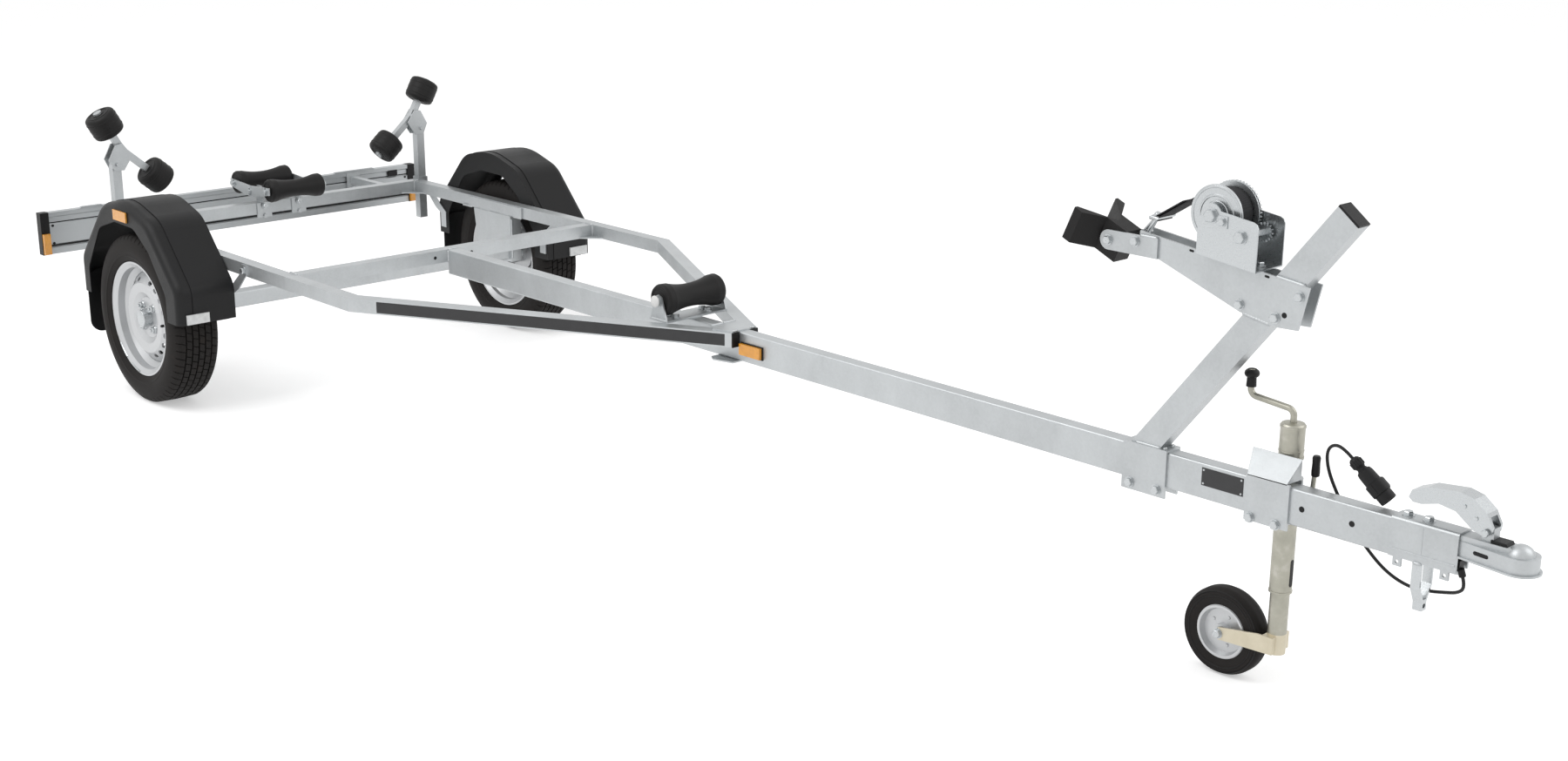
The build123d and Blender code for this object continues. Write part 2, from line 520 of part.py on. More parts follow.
with BuildPart() as keel_swing:
    for side in SIDES.values():
        bar_y = (side * SWING_Y, side * (SWING_Y + PLATE))
        side_plate([(SWING_X - SWING_REACH - 22, SWING_ROLLER_Z - 12), (SWING_X - 30, SWING_Z - 16),
                    (SWING_X + 30, SWING_Z - 16), (SWING_X + SWING_REACH + 22, SWING_ROLLER_Z - 12),
                    (SWING_X + SWING_REACH + 22, SWING_ROLLER_Z + 14), (SWING_X, SWING_Z + 20),
                    (SWING_X - SWING_REACH - 22, SWING_ROLLER_Z + 14)], bar_y)
    for x, z in ((SWING_X - SWING_REACH, SWING_ROLLER_Z), (SWING_X + SWING_REACH, SWING_ROLLER_Z),
                 (SWING_X, SWING_Z)):
        cross_rod(x, z, (-SWING_Y - PLATE - 10, SWING_Y + PLATE + 10), KEEL_PIN_R)
finish(keel_swing, "keel_swing")

SWING_BRACKET_Y = 70.0
NOSE_EAR_Y = KEEL_L / 2 + 4.0
with BuildPart() as roller_brackets:
    for side in SIDES.values():
        ear_y = (side * SWING_BRACKET_Y, side * (SWING_BRACKET_Y + PLATE))
        side_plate([(SWING_X - 24, FRAME_TOP), (SWING_X + 24, FRAME_TOP), (SWING_X + 14, SWING_Z + 16),
                    (SWING_X - 14, SWING_Z + 16)], ear_y)
        cross_rod(SWING_X, SWING_Z, ear_y, KEEL_PIN_R + RUN, Mode.SUBTRACT)
    for side in SIDES.values():
        block((REAR_CROSS_X, REAR_CROSS_X + PLATE), (side * 40, side * 95), (RAIL_BOTTOM - 12, FRAME_TOP))
        bolt = (REAR_CROSS_X + PLATE, side * 67, RAIL_BOTTOM - 6)
        rod(bolt, Vector(*bolt) + Vector(8, 0, 0), 7)
    block((NOSE_ROLLER_X - 35, NOSE_ROLLER_X + 35), (-NOSE_EAR_Y - PLATE, NOSE_EAR_Y + PLATE),
          (FRAME_TOP, FRAME_TOP + PLATE))
    for side in SIDES.values():
        ear_y = (side * NOSE_EAR_Y, side * (NOSE_EAR_Y + PLATE))
        side_plate([(NOSE_ROLLER_X - 35, FRAME_TOP), (NOSE_ROLLER_X + 35, FRAME_TOP),
                    (NOSE_ROLLER_X + 14, NOSE_ROLLER_Z + 10), (NOSE_ROLLER_X, NOSE_ROLLER_Z + 17),
                    (NOSE_ROLLER_X - 14, NOSE_ROLLER_Z + 10)], ear_y)
    cross_rod(NOSE_ROLLER_X, NOSE_ROLLER_Z, (-NOSE_EAR_Y - PLATE - 9, NOSE_EAR_Y + PLATE + 9), KEEL_PIN_R)
finish(roller_brackets, "roller_brackets")

# ---------------------------------------------------------------- light board
BOARD_FRONT_X = FRAME_X - 785.0
BOARD_T = 28.0
BOARD_TOP = 493.0
BOARD_BOTTOM = 350.0
BOARD_Y = 712.0
BOARD_CAP = 30.0
BOARD_ARM = 25.0
BOARD_ARM_Y = 470.0
BOARD_BACK_X = BOARD_FRONT_X - BOARD_T

with BuildPart() as light_board:
    with BuildSketch(Plane.XZ.offset(-BOARD_Y)):
        Polygon((BOARD_FRONT_X, BOARD_BOTTOM), (BOARD_FRONT_X, BOARD_BOTTOM + 22),
                (BOARD_FRONT_X - 4, BOARD_BOTTOM + 24), (BOARD_FRONT_X - 4, BOARD_BOTTOM + 32),
                (BOARD_FRONT_X - 2, BOARD_BOTTOM + 34), (BOARD_FRONT_X - 2, BOARD_TOP - 42),
                (BOARD_FRONT_X - 6, BOARD_TOP - 38), (BOARD_FRONT_X - 6, BOARD_TOP - 18),
                (BOARD_FRONT_X, BOARD_TOP - 14), (BOARD_FRONT_X, BOARD_TOP), (BOARD_BACK_X, BOARD_TOP),
                (BOARD_BACK_X, BOARD_BOTTOM), align=None)
    extrude(amount=2 * BOARD_Y)
finish(light_board, "light_board")

with BuildPart() as board_arms:
    for side in SIDES.values():
        arm_y = (side * (BOARD_ARM_Y - BOARD_ARM / 2), side * (BOARD_ARM_Y + BOARD_ARM / 2))
        block((BOARD_FRONT_X, REAR_CROSS_X - RAIL), arm_y, (RAIL_BOTTOM + 2, RAIL_BOTTOM + 2 + BOARD_ARM))
        block((BOARD_FRONT_X, BOARD_FRONT_X + PLATE), (arm_y[0] - side * 15, arm_y[1] + side * 15),
              (BOARD_BOTTOM + 40, BOARD_TOP))
finish(board_arms, "board_arms")

with BuildPart() as rear_lamps:
    for side in SIDES.values():
        block((BOARD_BACK_X - 40, BOARD_BACK_X), (side * 500, side * 700), (BOARD_BOTTOM + 18, BOARD_TOP - 18))
finish(rear_lamps, "rear_lamps")

MARKER_T = 6.0
BEAM_MARKER_X = (FRAME_X + 1965.0, FRAME_X + 2045.0)
with BuildPart() as amber_markers:
    for side in SIDES.values():
        block((AXLE_X - 62, AXLE_X + 25), (side * FENDER_OUT, side * (FENDER_OUT + MARKER_T)),
              (FENDER_TOP - 66, FENDER_TOP - 34))
        block(BEAM_MARKER_X, (side * BEAM_SIDE, side * (BEAM_SIDE + 12)), (BEAM_BOTTOM + 22, BEAM_BOTTOM + 52))
        block((BOARD_FRONT_X + 1, BOARD_FRONT_X + 13), (side * (BOARD_Y + 4), side * (BOARD_Y + BOARD_CAP - 2)),
              (BOARD_BOTTOM + 2, BOARD_BOTTOM + 72))
finish(amber_markers, "amber_markers")

# ---------------------------------------------------------------- winch post and arm
POST_LEAN = 38.0            # of the winch post, from upright towards the front
MAST_W = 60.0
MAST_T = 40.0
MAST_FOOT = (FRAME_X + 3288.0, 503.0)
MAST_LENGTH = 716.0
CLAMP_X = (FRAME_X + 3226.0, FRAME_X + 3342.0)
CLAMP_LOW = 386.0
ARM_PLATE_IN = MAST_T / 2
lean = math.radians(POST_LEAN)
mast_up = (math.sin(lean), math.cos(lean))
mast_across = (math.cos(lean), -math.sin(lean))


def on_mast(along, across):
    """A point on the mast's side face: along from its foot, across from its centre line."""
    return (MAST_FOOT[0] + along * mast_up[0] + across * mast_across[0],
            MAST_FOOT[1] + along * mast_up[1] + across * mast_across[1])


with BuildPart() as winch_post:
    half = MAST_W / 2
    foot_low = (FRAME_TOP + PLATE - MAST_FOOT[1])
    side_plate([on_mast(half * math.tan(lean) + foot_low / math.cos(lean), half),
                on_mast(MAST_LENGTH, half), on_mast(MAST_LENGTH, -half),
                on_mast(-half * math.tan(lean) + foot_low / math.cos(lean), -half)],
               (-MAST_T / 2, MAST_T / 2))
    block(CLAMP_X, (-BEAM_SIDE - PLATE, BEAM_SIDE + PLATE), (FRAME_TOP, FRAME_TOP + PLATE))
    for side in SIDES.values():
        block(CLAMP_X, (side * BEAM_SIDE, side * (BEAM_SIDE + PLATE)), (CLAMP_LOW, FRAME_TOP + PLATE))
    for bolt_x in (CLAMP_X[0] + 22, CLAMP_X[1] - 22):
        cross_rod(bolt_x, BEAM_BOTTOM - 8, (-BEAM_SIDE - PLATE - 8, BEAM_SIDE + PLATE + 8), 6)
finish(winch_post, "winch_post")

with BuildPart() as end_caps:
    side_plate([on_mast(MAST_LENGTH, half), on_mast(MAST_LENGTH + 5, half), on_mast(MAST_LENGTH + 5, -half),
                on_mast(MAST_LENGTH, -half)], (-MAST_T / 2, MAST_T / 2))
    for side in SIDES.values():
        nose_y = RAIL_OUT - (RAIL_NOSE_X - RAIL_BEND_OUT_X) * RAIL_SLOPE
        block((RAIL_NOSE_X, RAIL_NOSE_X + 4), (side * (BEAM_SIDE + 1), side * nose_y), (RAIL_BOTTOM, FRAME_TOP))
        block((BOARD_BACK_X - 1, BOARD_FRONT_X + 1), (side * BOARD_Y, side * (BOARD_Y + BOARD_CAP)),
              (BOARD_BOTTOM - 1, BOARD_TOP + 1))
finish(end_caps, "end_caps")

ARM_REAR_X = FRAME_X + 3240.0
ARM_FRONT_X = FRAME_X + 3660.0
ARM_REAR_TOP = 966.0
ARM_FRONT_TOP = 914.0


def arm_top(x):
    """Height of the arm plates' sloping top edge."""
    return ARM_REAR_TOP + (x - ARM_REAR_X) * (ARM_FRONT_TOP - ARM_REAR_TOP) / (ARM_FRONT_X - ARM_REAR_X)


with BuildPart() as winch_arm:
    for side in SIDES.values():
        side_plate([(ARM_REAR_X, 930), (ARM_REAR_X, ARM_REAR_TOP), (ARM_FRONT_X, ARM_FRONT_TOP),
                    (ARM_FRONT_X - 20, 822), (ARM_FRONT_X - 68, 820), (ARM_FRONT_X - 160, 836)],
                   (side * ARM_PLATE_IN, side * (ARM_PLATE_IN + PLATE)))
finish(winch_arm, "winch_arm")

STOP_LEAN = math.radians(24)    # the block leans forward with the bow
STOP_PIN = (FRAME_X + 3160.0, 934.0)
STOP_H = 78.0
STOP_SPAN = 75.0
STOP_PIN_R = 6.0
STOP_THROAT = 12.0              # the V's bottom lies this far behind the pin
BRACKET_H = 44.0
HOOK_PIN = (FRAME_X + 3232.0, 942.0)
HOOK_PIN_R = 5.0
with BuildPart() as bow_stop:
    stop_up = (math.sin(STOP_LEAN), 0, math.cos(STOP_LEAN))
    stop_forward = (math.cos(STOP_LEAN), 0, -math.sin(STOP_LEAN))
    with BuildSketch(Plane(origin=(STOP_PIN[0], 0, STOP_PIN[1]), x_dir=stop_forward, z_dir=stop_up)):
        half = ARM_PLATE_IN + PLATE - FIT
        Polygon((32, -half), (32, half), (-26, half), (-60, STOP_SPAN), (-82, STOP_SPAN),
                (-82, STOP_SPAN - 9), (-STOP_THROAT, 8), (-STOP_THROAT, -8), (-82, 9 - STOP_SPAN),
                (-82, -STOP_SPAN), (-60, -STOP_SPAN), (-26, -half), align=None)
    extrude(amount=STOP_H / 2, both=True)
    cross_rod(*STOP_PIN, (-half - 1, half + 1), STOP_PIN_R, Mode.SUBTRACT)
finish(bow_stop, "bow_stop")

with BuildPart() as stop_brackets:
    for side in SIDES.values():
        bar_y = (side * (ARM_PLATE_IN + PLATE), side * (ARM_PLATE_IN + 2 * PLATE))
        bar_z = (STOP_PIN[1] - BRACKET_H / 2, STOP_PIN[1] + BRACKET_H / 2)
        block((STOP_PIN[0], ARM_REAR_X + 50), bar_y, bar_z)
        cross_rod(*STOP_PIN, bar_y, BRACKET_H / 2)
    bolt_y = (-ARM_PLATE_IN - 2 * PLATE - 6, ARM_PLATE_IN + 2 * PLATE + 6)
    cross_rod(*STOP_PIN, bolt_y, STOP_PIN_R - FIT)
    cross_rod(*HOOK_PIN, bolt_y, HOOK_PIN_R)
finish(stop_brackets, "stop_brackets")

# ---------------------------------------------------------------- winch
DRUM_X = FRAME_X + 3433.0
DRUM_Z = 1030.0
GEAR_MODULE = 2.5
GEAR_TEETH = 50
PINION_TEETH = 15
GEAR_PITCH_R = GEAR_MODULE * GEAR_TEETH / 2
PINION_PITCH_R = GEAR_MODULE * PINION_TEETH / 2
PINION_ANGLE = -25.0        # of the pinion seen from the drum
GEAR_CENTRES = GEAR_PITCH_R + PINION_PITCH_R
PINION_X = DRUM_X + GEAR_CENTRES * math.cos(math.radians(PINION_ANGLE))
PINION_Z = DRUM_Z + GEAR_CENTRES * math.sin(math.radians(PINION_ANGLE))
DRUM_HALF = 28.0
FLANGE_T = 3.0
FLANGE_R = 63.0
FRAME_Y = 46.0
GEAR_Y = (DRUM_HALF + FLANGE_T, DRUM_HALF + FLANGE_T + 7.0)
SHAFT_R = 8.0
BASE_REAR_X = DRUM_X - 32.0
BASE_FRONT_X = DRUM_X + 114.0
WALL_TOP = DRUM_Z + 1.0      # of the base's walls, at their front corner
LOBE_R = 26.0               # of the walls round the drum shaft


def gear_outline(teeth, phase):
    """Corner points of a straight-sided spur gear about its own centre."""
    pitch_r = GEAR_MODULE * teeth / 2
    tip_r = pitch_r + 0.9 * GEAR_MODULE
    root_r = pitch_r - 1.25 * GEAR_MODULE
    points = []
    for tooth in range(teeth):
        for share, radius in ((-0.33, root_r), (-0.12, tip_r), (0.12, tip_r), (0.33, root_r)):
            angle = phase + 2 * math.pi * (tooth + share) / teeth
            points.append((radius * math.cos(angle), radius * math.sin(angle)))
    return points


with BuildPart() as winch_frame:
    for side in SIDES.values():
        wall_y = (side * FRAME_Y, side * (FRAME_Y + 3))
        side_plate([(BASE_REAR_X, arm_top(BASE_REAR_X)), (BASE_FRONT_X, arm_top(BASE_FRONT_X)),
                    (BASE_FRONT_X, WALL_TOP - 12), (BASE_FRONT_X - 4, WALL_TOP - 4),
                    (BASE_FRONT_X - 12, WALL_TOP),
                    (DRUM_X, DRUM_Z + 15), (BASE_REAR_X, DRUM_Z - 8)], wall_y)
        cross_rod(DRUM_X, DRUM_Z, wall_y, LOBE_R)
        cross_rod(DRUM_X, DRUM_Z, wall_y, SHAFT_R + RUN, Mode.SUBTRACT)
        cross_rod(PINION_X, PINION_Z, wall_y, SHAFT_R + RUN, Mode.SUBTRACT)
    side_plate([(BASE_REAR_X, arm_top(BASE_REAR_X)), (BASE_FRONT_X, arm_top(BASE_FRONT_X)),
                (BASE_FRONT_X, arm_top(BASE_FRONT_X) + 3), (BASE_REAR_X, arm_top(BASE_REAR_X) + 3)],
               (-FRAME_Y - 3, FRAME_Y + 3))
finish(winch_frame, "winch_frame")

with BuildPart() as winch_drum:
    cross_rod(DRUM_X, DRUM_Z, (-FRAME_Y - 11, FRAME_Y + 11), SHAFT_R)
    cross_rod(DRUM_X, DRUM_Z, (-DRUM_HALF, DRUM_HALF), 20)
    for side in SIDES.values():
        cross_rod(DRUM_X, DRUM_Z, (side * DRUM_HALF, side * (DRUM_HALF + FLANGE_T)), FLANGE_R)
    with BuildSketch(Plane.XZ.offset(-GEAR_Y[0])):
        with Locations((DRUM_X, DRUM_Z)):
            Polygon(*gear_outline(GEAR_TEETH, math.radians(PINION_ANGLE)), align=None)
    extrude(amount=-(GEAR_Y[1] - GEAR_Y[0]))
finish(winch_drum, "winch_drum")

CRANK_REACH = 190.0
CRANK_Y = FRAME_Y + 16.0
CRANK_ANGLE = math.radians(-95)
crank_dir = (math.cos(CRANK_ANGLE), math.sin(CRANK_ANGLE))
grip_x = PINION_X + CRANK_REACH * crank_dir[0]
grip_z = PINION_Z + CRANK_REACH * crank_dir[1]
with BuildPart() as winch_crank:
    cross_rod(PINION_X, PINION_Z, (-FRAME_Y - 11, CRANK_Y + 6), SHAFT_R)
    with BuildSketch(Plane.XZ.offset(-GEAR_Y[0])):
        with Locations((PINION_X, PINION_Z)):
            phase = math.radians(PINION_ANGLE + 180) + math.pi / PINION_TEETH
            Polygon(*gear_outline(PINION_TEETH, phase), align=None)
    extrude(amount=-(GEAR_Y[1] - GEAR_Y[0]))
    with BuildSketch(Plane.XZ.offset(-CRANK_Y)):
        with Locations((PINION_X, PINION_Z), (grip_x, grip_z)):
            Circle(13)
        make_hull()
    extrude(amount=-6)
    cross_rod(grip_x, grip_z, (CRANK_Y + 6, CRANK_Y + 120), 6)
finish(winch_crank, "winch_crank")

with BuildPart() as crank_grip:
    cross_rod(grip_x, grip_z, (CRANK_Y + 10, CRANK_Y + 116), 14)
    cross_rod(grip_x, grip_z, (CRANK_Y, CRANK_Y + 130), 6 + RUN, Mode.SUBTRACT)
finish(crank_grip, "crank_grip")

STRAP_W = 50.0
STRAP_T = 3.0
WOUND_R = 52.0
HOOK_X = FRAME_X + 3285.0
HOOK_Z = 998.0
with BuildPart() as strap_coil:
    cross_rod(DRUM_X, DRUM_Z, (-STRAP_W / 2, STRAP_W / 2), WOUND_R)
    cross_rod(DRUM_X, DRUM_Z, (-STRAP_W / 2, STRAP_W / 2), 20 + FIT, Mode.SUBTRACT)
finish(strap_coil, "strap_coil")

strap_fall = math.atan2(DRUM_Z - HOOK_Z, DRUM_X - HOOK_X)
strap_gap = math.hypot(DRUM_X - HOOK_X, DRUM_Z - HOOK_Z)
strap_turn = strap_fall + math.pi - math.acos((WOUND_R + FIT + STRAP_T / 2) / strap_gap)
strap_start = (DRUM_X + (WOUND_R + FIT) * math.cos(strap_turn),
               DRUM_Z + (WOUND_R + FIT) * math.sin(strap_turn))
strap_top = (DRUM_X + (WOUND_R + FIT + STRAP_T) * math.cos(strap_turn),
             DRUM_Z + (WOUND_R + FIT + STRAP_T) * math.sin(strap_turn))
with BuildPart() as strap:
    side_plate([strap_start, strap_top, (HOOK_X, HOOK_Z + STRAP_T), (HOOK_X, HOOK_Z)],
               (-STRAP_W / 2, STRAP_W / 2))
finish(strap, "strap")

with BuildPart() as strap_hook:
    block((HOOK_X - 14, HOOK_X), (-27, 27), (HOOK_Z - 4, HOOK_Z + 7))
    start = Vector(HOOK_X - 14, 0, HOOK_Z)
    pin = Vector(HOOK_PIN[0], 0, HOOK_PIN[1])
    rod(start, pin + (start - pin).normalized() * (HOOK_PIN_R + FIT), 6)
finish(strap_hook, "strap_hook")


# ---------------------------------------------------------------- jockey wheel
JOCKEY_X = FRAME_X + 3600.0
OUTER_R = 24.0
OUTER_BORE = 21.0
INNER_R = 20.6
COLLAR_R = 29.5
CRANK_R = 7.0
JOCKEY_Y = BEAM_SIDE + PLATE + OUTER_R + 2.0
OUTER_Z = (229.0, 530.0)
COLLAR_Z = (425.0, 485.0)
JOCKEY_R = 100.0
JOCKEY_W = 50.0
TRAIL = 127.0
FORK_TOP = 134.0
SPIGOT_R = 12.0
SPIGOT_L = 40.0
JOCKEY_WHEEL_X = JOCKEY_X - TRAIL
JOCKEY_PIN_R = 8.0


def upright(x, y, z_range, radius, mode=Mode.ADD):
    """A round bar along Z."""
    rod((x, y, min(z_range)), (x, y, max(z_range)), radius, mode)


with BuildPart() as jockey_clamp:
    block((JOCKEY_X - 55, JOCKEY_X + 50), (-BEAM_SIDE - PLATE, -BEAM_SIDE), (BEAM_BOTTOM - 14, FRAME_TOP + 6))
    block((JOCKEY_X - 55, JOCKEY_X + 50), (BEAM_SIDE, BEAM_SIDE + PLATE), (BEAM_BOTTOM - 14, FRAME_TOP + 6))
    upright(JOCKEY_X, JOCKEY_Y, COLLAR_Z, COLLAR_R)
    upright(JOCKEY_X, JOCKEY_Y, COLLAR_Z, OUTER_R + RUN, Mode.SUBTRACT)
    for bolt_x in (JOCKEY_X - 40, JOCKEY_X + 22):
        cross_rod(bolt_x, BEAM_BOTTOM - 6.5, (-BEAM_SIDE - PLATE - 8, BEAM_SIDE + PLATE), 5)
    rod((JOCKEY_X + 25, JOCKEY_Y, 455), (JOCKEY_X + 46, JOCKEY_Y, 455), 10)
    upright(JOCKEY_X, JOCKEY_Y, COLLAR_Z, OUTER_R + RUN, Mode.SUBTRACT)
    rod((JOCKEY_X + 20, JOCKEY_Y, 455), (JOCKEY_X + 50, JOCKEY_Y, 455), 6 + RUN, Mode.SUBTRACT)
finish(jockey_clamp, "jockey_clamp")

with BuildPart() as clamp_lever:
    rod((JOCKEY_X + OUTER_R + 1, JOCKEY_Y, 455), (JOCKEY_X + 58, JOCKEY_Y, 455), 6)
    rod((JOCKEY_X + 56, JOCKEY_Y, 455), (JOCKEY_X + 62, JOCKEY_Y, 545), 5)
finish(clamp_lever, "clamp_lever")

with BuildPart() as jockey_outer:
    upright(JOCKEY_X, JOCKEY_Y, OUTER_Z, OUTER_R)
    upright(JOCKEY_X, JOCKEY_Y, (OUTER_Z[1], OUTER_Z[1] + 70), 26)
    upright(JOCKEY_X, JOCKEY_Y, OUTER_Z, OUTER_BORE, Mode.SUBTRACT)
    upright(JOCKEY_X, JOCKEY_Y, (OUTER_Z[1] - 1, OUTER_Z[1] + 71), CRANK_R + RUN, Mode.SUBTRACT)
finish(jockey_outer, "jockey_outer")

CRANK_TOP = 642.0
CRANK_BEND = 16.0
KNOB_X = JOCKEY_X - 108.0
KNOB_Z = (CRANK_TOP + CRANK_BEND + 2, CRANK_TOP + 56)
with BuildPart() as jockey_crank:
    with BuildLine() as crank_line:
        FilletPolyline((JOCKEY_X, JOCKEY_Y, OUTER_Z[1]), (JOCKEY_X, JOCKEY_Y, CRANK_TOP - 10),
                       (KNOB_X, JOCKEY_Y, CRANK_TOP), (KNOB_X, JOCKEY_Y, KNOB_Z[1] - 2), radius=CRANK_BEND)
    with BuildSketch(Plane.XY.offset(OUTER_Z[1])):
        with Locations((JOCKEY_X, JOCKEY_Y)):
            Circle(CRANK_R)
    sweep(transition=Transition.ROUND)
finish(jockey_crank, "jockey_crank")

with BuildPart() as jockey_knob:
    with BuildSketch(Plane(origin=(KNOB_X, JOCKEY_Y, KNOB_Z[0]), x_dir=(1, 0, 0), z_dir=(0, -1, 0))):
        with BuildLine():
            height = KNOB_Z[1] - KNOB_Z[0]
            Polyline((CRANK_R + RUN, height - 4), (CRANK_R + RUN, 0), (11, 0), (10, height - 18))
            ThreePointArc((10, height - 18), (16, height - 10), (12, height - 2))
            Polyline((12, height - 2), (9, height), (CRANK_R + RUN, height - 4))
        make_face()
    revolve(axis=Axis((KNOB_X, JOCKEY_Y, 0), (0, 0, 1)))
finish(jockey_knob, "jockey_knob")

with BuildPart() as jockey_inner:
    upright(JOCKEY_X, JOCKEY_Y, (FORK_TOP, OUTER_Z[1] - 85), INNER_R)
    upright(JOCKEY_X, JOCKEY_Y, (FORK_TOP, FORK_TOP + SPIGOT_L + 2), SPIGOT_R + RUN, Mode.SUBTRACT)
finish(jockey_inner, "jockey_inner")

with BuildPart() as jockey_fork:
    upright(JOCKEY_X, JOCKEY_Y, (88, FORK_TOP), INNER_R)
    upright(JOCKEY_X, JOCKEY_Y, (FORK_TOP, FORK_TOP + SPIGOT_L), SPIGOT_R)
    for y in (JOCKEY_Y - 32, JOCKEY_Y + 28):
        side_plate([(JOCKEY_X + 10, 92), (JOCKEY_X + 10, 130), (JOCKEY_X - 30, 130), (JOCKEY_WHEEL_X, 114),
                    (JOCKEY_WHEEL_X - 13, 100), (JOCKEY_WHEEL_X, 86)], (y, y + 4))
    block((JOCKEY_X - 18, JOCKEY_X + 10), (JOCKEY_Y - 32, JOCKEY_Y + 32), (92, 130))
    cross_rod(JOCKEY_WHEEL_X, JOCKEY_R, (JOCKEY_Y - 40, JOCKEY_Y + 40), JOCKEY_PIN_R)
finish(jockey_fork, "jockey_fork")

with BuildPart() as jockey_tyre:
    with BuildSketch(wheel_plane(1, JOCKEY_WHEEL_X, JOCKEY_Y, JOCKEY_R)):
        with BuildLine():
            half = JOCKEY_W / 2
            Polyline((62, -half + 4), (62, half - 4), (72, half - 2), (88, half))
            ThreePointArc((88, half), (97, 17), (JOCKEY_R, 8))
            Line((JOCKEY_R, 8), (JOCKEY_R, -8))
            ThreePointArc((JOCKEY_R, -8), (97, -17), (88, -half))
            Polyline((88, -half), (72, 2 - half), (62, 4 - half))
        make_face()
    revolve(axis=spin_axis(JOCKEY_WHEEL_X, JOCKEY_R))
finish(jockey_tyre, "jockey_tyre")

with BuildPart() as jockey_rim:
    with BuildSketch(wheel_plane(1, JOCKEY_WHEEL_X, JOCKEY_Y, JOCKEY_R)):
        Polygon((JOCKEY_PIN_R + RUN, -25), (18, -25), (18, -8), (50, -8), (54, -20), (61.7, -20), (61.7, 20),
                (54, 20), (50, 8), (18, 8), (18, 25), (JOCKEY_PIN_R + RUN, 25), align=None)
    revolve(axis=spin_axis(JOCKEY_WHEEL_X, JOCKEY_R))
finish(jockey_rim, "jockey_rim")

# ---------------------------------------------------------------- coupling
COUPLING_X = FRAME_X + 3882.0
STEP_X = FRAME_X + 4027.0
BALL_X = FRAME_X + 4142.0
BALL_Z = 459.0
BALL_R = 25.0
HEAD_R = 36.0
HEAD_Z = (450.0, 480.0)
HEAD_TOP = 500.0
NECK_TOP = 491.0
LIP_W = 5.0
LIP_T = 4.0
HANDLE_PIVOT = (FRAME_X + 4078.0, 510.0)
HANDLE_PIN_R = 5.0
LUG_Y = 12.0

with BuildPart() as coupling_body:
    block((COUPLING_X, STEP_X), (-BEAM_SIDE - PLATE, BEAM_SIDE + PLATE), (BEAM_BOTTOM + 2, FRAME_TOP + PLATE))
    fillet(coupling_body.edges().filter_by(Axis.X).group_by(Axis.Z)[-1], radius=PLATE + 3)
    block((COUPLING_X, STEP_X - 8), (-BEAM_SIDE, BEAM_SIDE), (BEAM_BOTTOM, FRAME_TOP), Mode.SUBTRACT)
    block((COUPLING_X, STEP_X), (-BEAM_SIDE, BEAM_SIDE), (BEAM_BOTTOM, HEAD_Z[0]), Mode.SUBTRACT)
    for spread, head_z in ((0, HEAD_Z), (LIP_W, (HEAD_Z[0] - LIP_T, HEAD_Z[0]))):
        with BuildSketch(Plane.XY.offset(head_z[0])) as face:
            with Locations((BALL_X, 0)):
                Circle(HEAD_R + spread)
            with Locations(((STEP_X + FIT + BALL_X) / 2, 0)):
                Rectangle(BALL_X - STEP_X - FIT, 2 * (BEAM_SIDE + spread))
            make_hull()
        extrude(face.sketch, amount=head_z[1] - head_z[0])
    with Locations((BALL_X, 0, HEAD_TOP - HEAD_R + 8)):
        Sphere(HEAD_R - 8)
    side_plate([(STEP_X + FIT, HEAD_Z[1]), (STEP_X + FIT, NECK_TOP), (BALL_X - 12, NECK_TOP),
                (BALL_X, HEAD_Z[1])],
               (-BEAM_SIDE + 1, BEAM_SIDE - 1))
    with Locations((BALL_X, 0, BALL_Z)):
        Sphere(BALL_R + FIT, mode=Mode.SUBTRACT)
    upright(BALL_X, 0, (HEAD_Z[0] - LIP_T - 1, BALL_Z), BALL_R + FIT, Mode.SUBTRACT)
    block((HANDLE_PIVOT[0] - 12, HANDLE_PIVOT[0] + 12), (-LUG_Y, LUG_Y), (HEAD_Z[1], HANDLE_PIVOT[1] + 9))
    cross_rod(*HANDLE_PIVOT, (-LUG_Y, LUG_Y), HANDLE_PIN_R + RUN, Mode.SUBTRACT)
    for ear_x in (COUPLING_X + 20, COUPLING_X + 122):
        for side in SIDES.values():
            ear_y = (side * BEAM_SIDE, side * (BEAM_SIDE + PLATE))
            block((ear_x - 9, ear_x + 9), ear_y, (BEAM_BOTTOM - 16, BEAM_BOTTOM + 4))
            cross_rod(ear_x, BEAM_BOTTOM - 7, ear_y, 4, Mode.SUBTRACT)
finish(coupling_body, "coupling_body")

with BuildPart() as coupling_handle:
    x, z = HANDLE_PIVOT
    side_plate([(x - 6, z - 8), (x + 10, z - 2), (x + 12, z + 12), (x - 2, z + 38), (x - 30, z + 60),
                (x - 60, z + 67), (x - 126, z + 60), (x - 160, z + 46), (x - 166, z + 30), (x - 156, z + 22),
                (x - 138, z + 22), (x - 102, z + 32), (x - 66, z + 26), (x - 28, z - 2)],
               (-LUG_Y - 8, LUG_Y + 8))
    side_plate([(x - 24, z - 10), (x + 16, z - 10), (x + 6, z + 14), (x - 4, z + 34), (x - 32, z + 56),
                (x - 60, z + 63), (x - 125, z + 56), (x - 160, z + 40), (x - 166, z + 12)],
               (-LUG_Y - 4, LUG_Y + 4), Mode.SUBTRACT)
    block((x - 40, x + 30), (-LUG_Y - 0.5, LUG_Y + 0.5), (z - 20, z + 30), Mode.SUBTRACT)
    cross_rod(x, z, (-LUG_Y - 14, LUG_Y + 14), HANDLE_PIN_R)
finish(coupling_handle, "coupling_handle")

